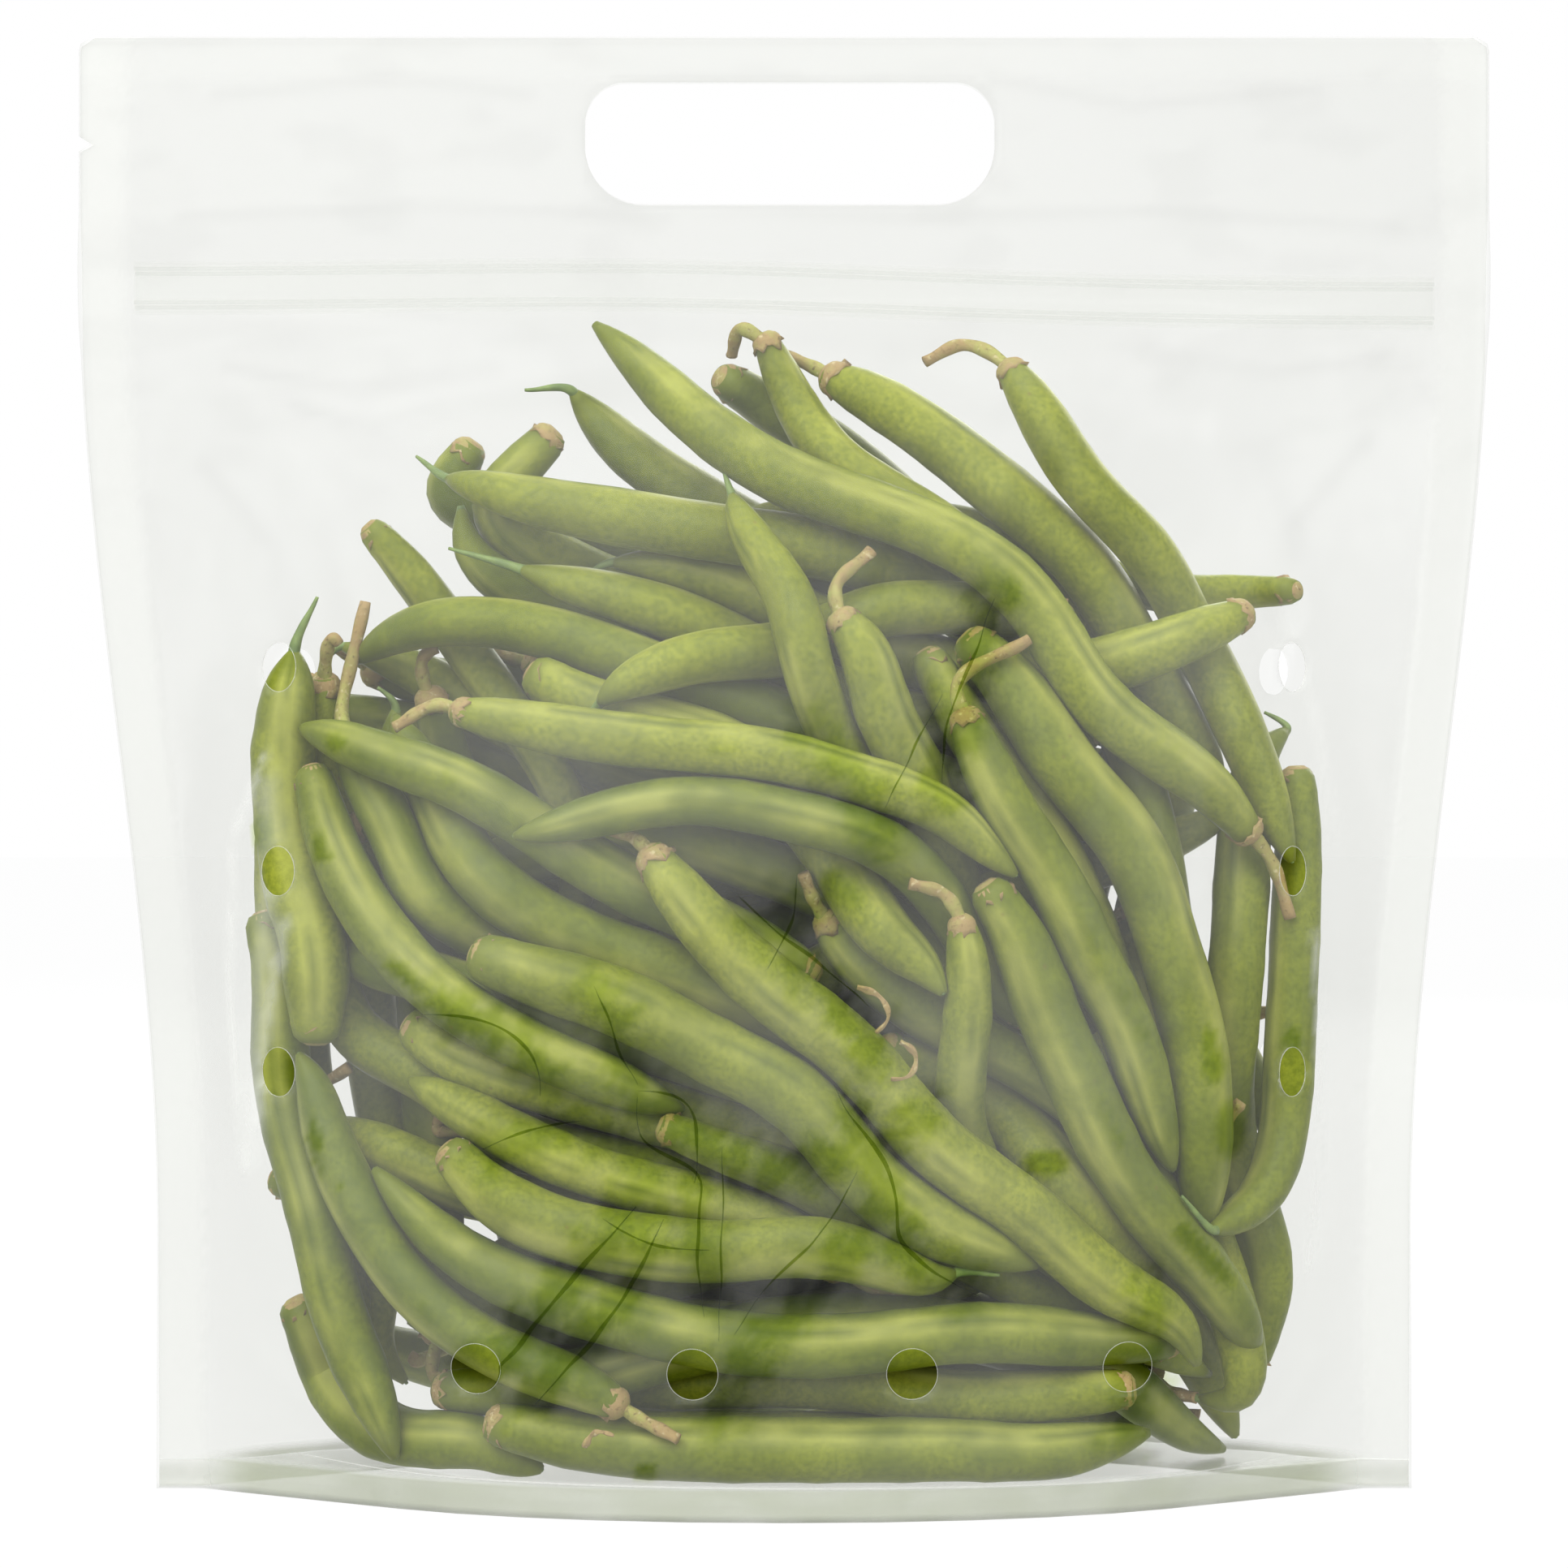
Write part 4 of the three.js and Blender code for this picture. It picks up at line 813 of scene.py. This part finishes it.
def paint_film(piece, haze, wet, skirt, shade):
    """Gives every point of a film its haze, the haze's tone and the tint of what it lets through, with
    painted shade: a darker haze at the skirt and darker creases.
    """
    layer = piece.data.attributes.new("haze", "FLOAT", "POINT")
    layer.data.foreach_set("value", haze.astype(np.float32))
    for name, first, second, share in (
        # painted shade: at the skirt the haze takes the darker grey-green of the shade showing through
        ("tone", FILM_TONE, SKIRT_SHADE_TONE, skirt),
        ("clear", FILM_CLEAR, WET_CLEAR, wet),
    ):
        colour = np.array(first) * (1 - share[:, None]) + np.array(second) * share[:, None]
        # painted shade: creases darken both the haze's colour and what the film lets through
        colour = np.column_stack([colour * (1 - shade[:, None]), np.ones(len(colour))])
        layer = piece.data.attributes.new(name, "FLOAT_COLOR", "POINT")
        layer.data.foreach_set("color", colour.astype(np.float32).ravel())


def trim_to_cuts(piece):
    """Drops loose points and moves each cut-out's rim onto its true outline, still on the film's face."""
    face = tree_of(piece.data)
    bm = bmesh.new()
    bm.from_mesh(piece.data)
    bmesh.ops.delete(bm, geom=[v for v in bm.verts if not v.link_faces], context="VERTS")
    step = 0.05 * MM
    for vertex in bm.verts:
        if not vertex.is_boundary:
            continue
        for _ in range(4):
            x, z = vertex.co.x, vertex.co.z
            here = float(nearest_cut(np.float64(x), np.float64(z)))
            if abs(here) > CUT_REACH:
                break
            slope_x = float(nearest_cut(np.float64(x + step), np.float64(z))) - here
            slope_z = float(nearest_cut(np.float64(x), np.float64(z + step))) - here
            steepness = (slope_x**2 + slope_z**2) / step or 1
            vertex.co.x -= here * slope_x / steepness
            vertex.co.z -= here * slope_z / steepness
        vertex.co.y = face.find_nearest(vertex.co)[0].y
    bm.to_mesh(piece.data)
    bm.free()


def on_front(tree, line):
    """Points of a line set on the face of the front film, wherever it lies across and up it."""
    points = []
    for x, _, z in line:
        hit = tree.ray_cast(Vector((x, -LOOK_FROM, z)), Vector((0, 1, 0)))[0]
        if hit is None:
            hit = tree.find_nearest(Vector((x, -30 * MM, z)))[0]
        points.append(np.array(hit))
    return np.array(points)


def flat_curve(line, count):
    """A smooth curve through points given in mm across and up."""
    return spline([(x * MM, 0, z * MM) for x, z in line], count)


def ring_tube(build, path, radius):
    """A closed loop of thin round bead."""
    count, sides = len(path), BEAD_SIDES
    along = np.roll(path, -1, 0) - np.roll(path, 1, 0)
    along /= np.linalg.norm(along, axis=1)[:, None]
    out = np.cross(along, (0, 1, 0))
    out /= np.linalg.norm(out, axis=1)[:, None]
    up = np.cross(along, out)
    vertices, faces = [], []
    for i in range(count):
        for s in range(sides):
            angle = 2 * math.pi * s / sides
            vertices.append(path[i] + radius * (out[i] * math.cos(angle) + up[i] * math.sin(angle)))
            t, j = (s + 1) % sides, (i + 1) % count
            faces.append((i * sides + s, i * sides + t, j * sides + t, j * sides + s))
    build.add_plain(vertices, faces)


BEAD_SIDES = 6
RIM_BEAD = 0.07 * MM
RIM_SHOWN = 0.2
FOOT_BEAD = 3.2 * RIM_BEAD
FOOT_LINE = [(-84, 8), (-66, 6.6), (-44, 6), (0, 5.7), (44, 5.5), (68, 5.8), (84, 7)]


def dress_rims(front):
    """The bright cut rims of the vents and the bright line along the top of the foot's seal."""
    tree = tree_of(front.data)
    build = Build()
    turns = np.linspace(0, 2 * math.pi, 44, endpoint=False)
    for vx, vz, share in VENTS:
        oval = [(vx + VENT_RADIUS * share * math.cos(t), 0, vz + VENT_RADIUS * math.sin(t)) for t in turns]
        ring_tube(build, on_front(tree, oval), RIM_BEAD)

    def radius_at(share, angle):
        return FOOT_BEAD * np.sin(math.pi * share) ** 0.4 + 0 * angle

    build.add_plain(*tube(on_front(tree, flat_curve(FOOT_LINE, 90)), radius_at, BEAD_SIDES, 0)[:2])
    n = material_nodes("film_rim")
    clear = n.add("BsdfTransparent", {"Color": (1, 1, 1, 1)})
    white = n.add("BsdfPrincipled", {"Base Color": rgb("f2f3ee"), "Roughness": 0.3})
    material = n.finish(n.add("MixShader", {0: RIM_SHOWN, 1: clear.outputs[0], 2: white.outputs[0]}))
    piece = build.make("film_rims", [material])
    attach(piece, "root")


# Thin dark lines along the film's creases, painted shade, in mm across and up the front, with their width.
DARK_CREASES = [
    ([(-51, 20), (-42, 31), (-33, 42), (-24, 52)], 0.55),
    ([(-41, 19), (-33, 28), (-25, 39), (-20, 50)], 0.5),
    ([(-31, 88), (-27, 78), (-24, 72)], 0.3),
    ([(-24, 70), (-23, 63), (-15, 58), (-14, 48), (-13, 34)], 0.4),
    ([(-24, 71), (-16, 69), (-14, 63), (-15, 56)], 0.35),
    ([(-10, 62), (-10, 46), (-10.5, 30)], 0.25),
    ([(8, 72), (13, 64), (18, 56), (19, 47), (25, 41), (32, 37)], 0.5),
    ([(12, 58), (6, 48), (-2, 40), (-8, 31)], 0.3),
    ([(26, 121), (27, 131), (31, 142), (35, 152)], 0.35),
    ([(16, 117), (22, 128), (26, 136)], 0.25),
    ([(-9, 104), (-1, 97), (8, 90), (15, 84)], 0.35),
    ([(2, 106), (1, 98), (-3, 91)], 0.3),
    ([(-60, 83), (-49, 82), (-41, 76), (-40, 70)], 0.35),
    ([(-50, 61), (-43, 64), (-33, 66)], 0.3),
    ([(-30, 50), (-22, 46), (-12, 45)], 0.3),
]
CREASE_STRAY = {"scale": 150, "reach": 0.6 * MM}
CREASE_DEPTH = 0.1 * MM  # how far behind the film's face a crease lies


def dress_creases(front):
    """Dark hair-fine lines of painted shade along the film's creases, thickest where they meet."""
    tree = tree_of(front.data)
    build = Build()
    for line, width in DARK_CREASES:
        curve = flat_curve(line, 40)
        stray = [noise.noise(Vector((x, z, 1))) for x, _, z in curve * CREASE_STRAY["scale"]]
        curve[:, 0] += np.array(stray) * CREASE_STRAY["reach"]
        path = on_front(tree, curve) + np.array((0, CREASE_DEPTH, 0))
        swell = draw.uniform(0, 2 * math.pi)

        def radius_at(share, angle):
            waves = 0.75 + 0.25 * np.sin(15 * share + swell)
            return width * MM * np.sin(math.pi * (0.06 + 0.88 * share)) * waves + 0 * angle

        build.add_plain(*tube(path, radius_at, BEAD_SIDES, 0)[:2])
    # painted shade: a nearly clear tint with a little dark green along each crease
    n = material_nodes("painted_crease_shade")
    tint = n.add("BsdfTransparent", {"Color": rgb("dde4bc")})
    dark = n.add("BsdfDiffuse", {"Color": rgb("2a3a0a")})
    material = n.finish(n.add("MixShader", {0: 0.05, 1: tint.outputs[0], 2: dark.outputs[0]}))
    piece = build.make("film_creases", [material])
    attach(piece, "root")


def beans_tree(pieces):
    """A tree of the faces of all beans."""
    vertices, faces = [], []
    for piece in pieces:
        start = len(vertices)
        vertices.extend(v.co.copy() for v in piece.data.vertices)
        faces.extend(tuple(i + start for i in p.vertices) for p in piece.data.polygons)
    return BVHTree.FromPolygons(vertices, faces)


GUSSET = {"floor": 4.9 * MM, "corner": 2.6 * MM, "skirt": 3 * MM, "sag": 0.35 * MM, "columns": 120}
GUSSET_HAZE = 0.1


def gusset_profile(leg, x):
    """Section of the folded sheet at x: up the front leg, round its corner, over the floor and down again."""
    corner = min(GUSSET["corner"], 0.8 * leg)
    turns = np.linspace(0, math.pi / 2, 6)
    rise = [(-leg, z) for z in np.linspace(0, GUSSET["floor"] - corner, 4)[:-1]]
    bend = [(-leg + corner * (1 - math.cos(t)), GUSSET["floor"] - corner * (1 - math.sin(t))) for t in turns]
    half = rise + bend + [(-(leg - corner) * share, GUSSET["floor"]) for share in (0.8, 0.6, 0.4, 0.2)]
    points = half + [(0, GUSSET["floor"])] + [(-y, z) for y, z in reversed(half)]
    waves = [abs(noise.noise(Vector((x * 60, y * 60, 4)))) * min(1, z / GUSSET["floor"]) for y, z in points]
    return [(x, y, z - GUSSET["sag"] * wave) for (y, z), wave in zip(points, waves)]


def dress_gusset(materials):
    """The folded sheet in the foot: legs down to the table and a floor that the beans lie on."""
    tree = tree_of(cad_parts["film_gusset"].data)
    reach = FOOT_HALF_WIDTH - 0.3 * MM
    rings = []
    for x in reach * np.sin(np.linspace(-math.pi / 2, math.pi / 2, GUSSET["columns"])):
        leg = -tree.ray_cast(Vector((x, -LOOK_FROM, 1 * MM)), Vector((0, 1, 0)))[0].y
        rings.append(gusset_profile(leg - 0.05 * MM, x))
    count = len(rings[0])
    faces = []
    for c in range(len(rings) - 1):
        for k in range(count - 1):
            a, b = c * count + k, (c + 1) * count + k
            faces.append((a, b, b + 1, a + 1))
    vertices = np.array(rings).reshape(-1, 3)
    piece = make_object("gusset_sheet", vertices, faces, materials)
    heights, none = vertices[:, 2], np.zeros(len(vertices))
    # painted shade: the gusset's lowest band takes the skirt's darker haze colour
    skirt = (heights < GUSSET["skirt"]).astype(float)
    paint_film(piece, none + GUSSET_HAZE, none, skirt, none)
    thicken(piece)
    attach(piece, "root")
    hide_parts("film_gusset")


ZIP = {"z": 207 * MM, "height": 9 * MM, "half_length": 112 * MM, "droop": 3.2 * MM, "columns": 90}
ZIP_DEPTH = {"back": 1.35 * MM, "strip": 0.3 * MM, "bead": 0.75 * MM}
ZIP_RIBS = (2.9 * MM, -2.9 * MM)
ZIP_BEAD = {"radius": 0.36 * MM, "sides": 8, "shift": 0.35 * MM}


def zip_height(x):
    """How far the zip hangs below its level at x: the bag's right side sags."""
    return -ZIP["droop"] * smoothstep(-30 * MM, 112 * MM, x) - 0.25 * MM * np.sin(x / (23 * MM))


def zip_material(name, clear, cloudy):
    n = material_nodes(name)
    seen = n.add("BsdfTransparent", {"Color": clear})
    milky = n.add("BsdfPrincipled", {"Base Color": rgb("f2f4f2"), "Roughness": 0.3})
    return n.finish(n.add("MixShader", {0: cloudy, 1: seen.outputs[0], 2: milky.outputs[0]}))


def add_strip(build, xs, levels, depths):
    """A flat closed strip along the levels, between two depths."""
    profile = [(depths[0], -0.5), (depths[0], 0.5), (depths[1], 0.5), (depths[1], -0.5)]
    points = [(x, y, level + share * ZIP["height"]) for x, level in zip(xs, levels) for y, share in profile]
    faces = []
    for c in range(len(xs) - 1):
        for k in range(4):
            a, b = 4 * c + k, 4 * c + (k + 1) % 4
            faces.append((a, b, b + 4, a + 4))
    last = 4 * (len(xs) - 1)
    faces += [(3, 2, 1, 0), (last, last + 1, last + 2, last + 3)]
    build.add_plain(points, faces)


def bead_radius(share, angle):
    return ZIP_BEAD["radius"] + 0 * share * angle


def dress_zip():
    """Each track as a thin strip with two beads along it, drooping to the right."""
    strip_material = zip_material("zip_strip", (0.992, 0.993, 0.99, 1), 0.02)
    bead_material = zip_material("zip_bead", (0.965, 0.968, 0.962, 1), 0.05)
    xs = np.linspace(-ZIP["half_length"], ZIP["half_length"], ZIP["columns"])
    levels = ZIP["z"] + zip_height(xs)
    for name, side in (("zip_track_front", -1), ("zip_track_back", 1)):
        build = Build()
        back = side * ZIP_DEPTH["back"]
        add_strip(build, xs, levels, (back, back - side * ZIP_DEPTH["strip"]))
        for rib in ZIP_RIBS:
            depth, rise = back - side * ZIP_DEPTH["bead"], rib - side * ZIP_BEAD["shift"]
            path = [(x, depth, level + rise) for x, level in zip(xs, levels)]
            build.add_plain(*tube(path, bead_radius, ZIP_BEAD["sides"], 0)[:2], 1)
        piece = build.make("pressed_" + name, [strip_material, bead_material])
        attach(piece, "root")
        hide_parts(name)


# Blossom scraps between the beans and the film: lines across and up the front, in mm.
SCRAPS = [
    [(12, 88), (15.5, 86.5), (17, 83), (15, 80.5)],
    [(19, 79), (21.5, 77), (20.5, 73.5), (17.5, 73)],
    [(-33, 12), (-31, 14.5), (-28, 14)],
]
SCRAP_RADII = (0.5 * MM, 0.25 * MM)
SCRAP_DEPTH = 0.7 * MM  # how far behind the film's face they lie


def dress_scraps(front):
    """Small brown dried bits of blossom."""
    tree = tree_of(front.data)
    build = Build()
    for line in SCRAPS:
        path = on_front(tree, flat_curve(line, 24)) + np.array((0, SCRAP_DEPTH, 0))
        add_stem(build, path, SCRAP_RADII, (0.9, 1.2), 0.35, 0)
    piece = build.make("blossom_scraps", [stalk_material()])
    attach(piece, "root")


# Stage


LIGHT_AIM = Vector((0, 0, 0.1))
# Place, size and power of each area light.
AREA_LIGHTS = {
    "key": ((-0.4, -0.95, 0.75), (1.5, 1.2), 13),
    "fill": ((0.8, -0.8, 0.3), (0.4, 0.8), 3.4),
    "behind": ((0.5, 1.1, 0.8), (1.2, 0.8), 10),
}
OVERHEAD = {"power": 2.15, "spread": 75, "tilt": (18, -8)}
ROOM_LIGHT = 0.21  # what the white room gives the object, beside 1 that is seen of it
FLOOR = {"half_size": 6, "seen": 0.915, "given": 0.43, "matt": 0.085}


def area_light(name, place, size, power):
    data = bpy.data.lights.new(name, "AREA")
    data.shape = "RECTANGLE"
    data.size, data.size_y = size
    data.energy = power
    light = bpy.data.objects.new(name, data)
    light.location = place
    light.rotation_euler = (LIGHT_AIM - Vector(place)).to_track_quat("-Z", "Y").to_euler()
    bpy.context.scene.collection.objects.link(light)


def overhead_light():
    data = bpy.data.lights.new("overhead", "SUN")
    data.energy = OVERHEAD["power"]
    data.angle = math.radians(OVERHEAD["spread"])
    light = bpy.data.objects.new("overhead", data)
    light.rotation_euler = (*(math.radians(turn) for turn in OVERHEAD["tilt"]), 0)
    bpy.context.scene.collection.objects.link(light)


def looked_at(n):
    """1 for rays that look or mirror, 0 for those that light the object."""
    rays = n.add("LightPath").outputs
    return n.math("MAXIMUM", rays["Is Camera Ray"], rays["Is Glossy Ray"])


def set_world():
    """A white room: bright to the camera and to gloss, dimmer as light on the object."""
    n = Nodes(bpy.data.worlds.new("white_room"), "OutputWorld")
    seen = n.add("Background", {"Color": (1, 1, 1, 1), "Strength": 1.0})
    given = n.add("Background", {"Color": (0.95, 0.98, 1, 1), "Strength": ROOM_LIGHT})
    world = n.finish(n.add("MixShader", {0: looked_at(n), 1: given.outputs[0], 2: seen.outputs[0]}))
    bpy.context.scene.world = world


def set_floor():
    """A matt floor that glows just enough to look as white as the room behind it."""
    n = material_nodes("white_floor")
    strength = n.ramp(looked_at(n), 0, 1, FLOOR["given"], FLOOR["seen"])
    glow = n.add("Emission", {"Color": (1, 1, 1, 1), "Strength": strength})
    matt = n.add("BsdfDiffuse", {"Color": (*[FLOOR["matt"]] * 3, 1)})
    material = n.finish(n.add("AddShader", {0: glow.outputs[0], 1: matt.outputs[0]}))
    size = FLOOR["half_size"]
    corners = [(-size, -size, 0), (size, -size, 0), (size, size, 0), (-size, size, 0)]
    floor = make_object("floor", corners, [(0, 1, 2, 3)], [material], smooth=False)


def set_camera():
    data = bpy.data.cameras.new("camera")
    data.sensor_width = SENSOR
    data.lens = SENSOR * CAMERA_DISTANCE / PHOTO_WIDTH
    camera = bpy.data.objects.new("camera", data)
    camera.location = (0, -CAMERA_DISTANCE, CAMERA_HEIGHT)
    camera.rotation_euler = (math.radians(90), 0, 0)
    bpy.context.scene.collection.objects.link(camera)
    bpy.context.scene.camera = camera


def set_light_paths():
    """Enough clear faces in a row for the whole pouch, and few bounces, which keeps the render short."""
    cycles = bpy.context.scene.cycles
    cycles.transparent_max_bounces = 20
    cycles.max_bounces = 2
    cycles.diffuse_bounces = 1
    cycles.glossy_bounces = 1
    cycles.light_threshold = 0.03


set_camera()
set_world()
set_floor()
for light_name, light in AREA_LIGHTS.items():
    area_light(light_name, *light)
overhead_light()
set_light_paths()
bpy.context.scene.view_settings.view_transform = "Standard"
green_beans = dress_beans()
contents_tree = beans_tree(green_beans)
film = [film_material("pouch_film"), inner_face_material()]
front_film = film_piece("front_film", "film_front", -1, FRONT_GRID, contents_tree, film)
dress_rims(front_film)
dress_creases(front_film)
dress_scraps(front_film)
film_piece("back_film", "film_back", 1, BACK_GRID, contents_tree, film)
dress_gusset(film)
dress_zip()
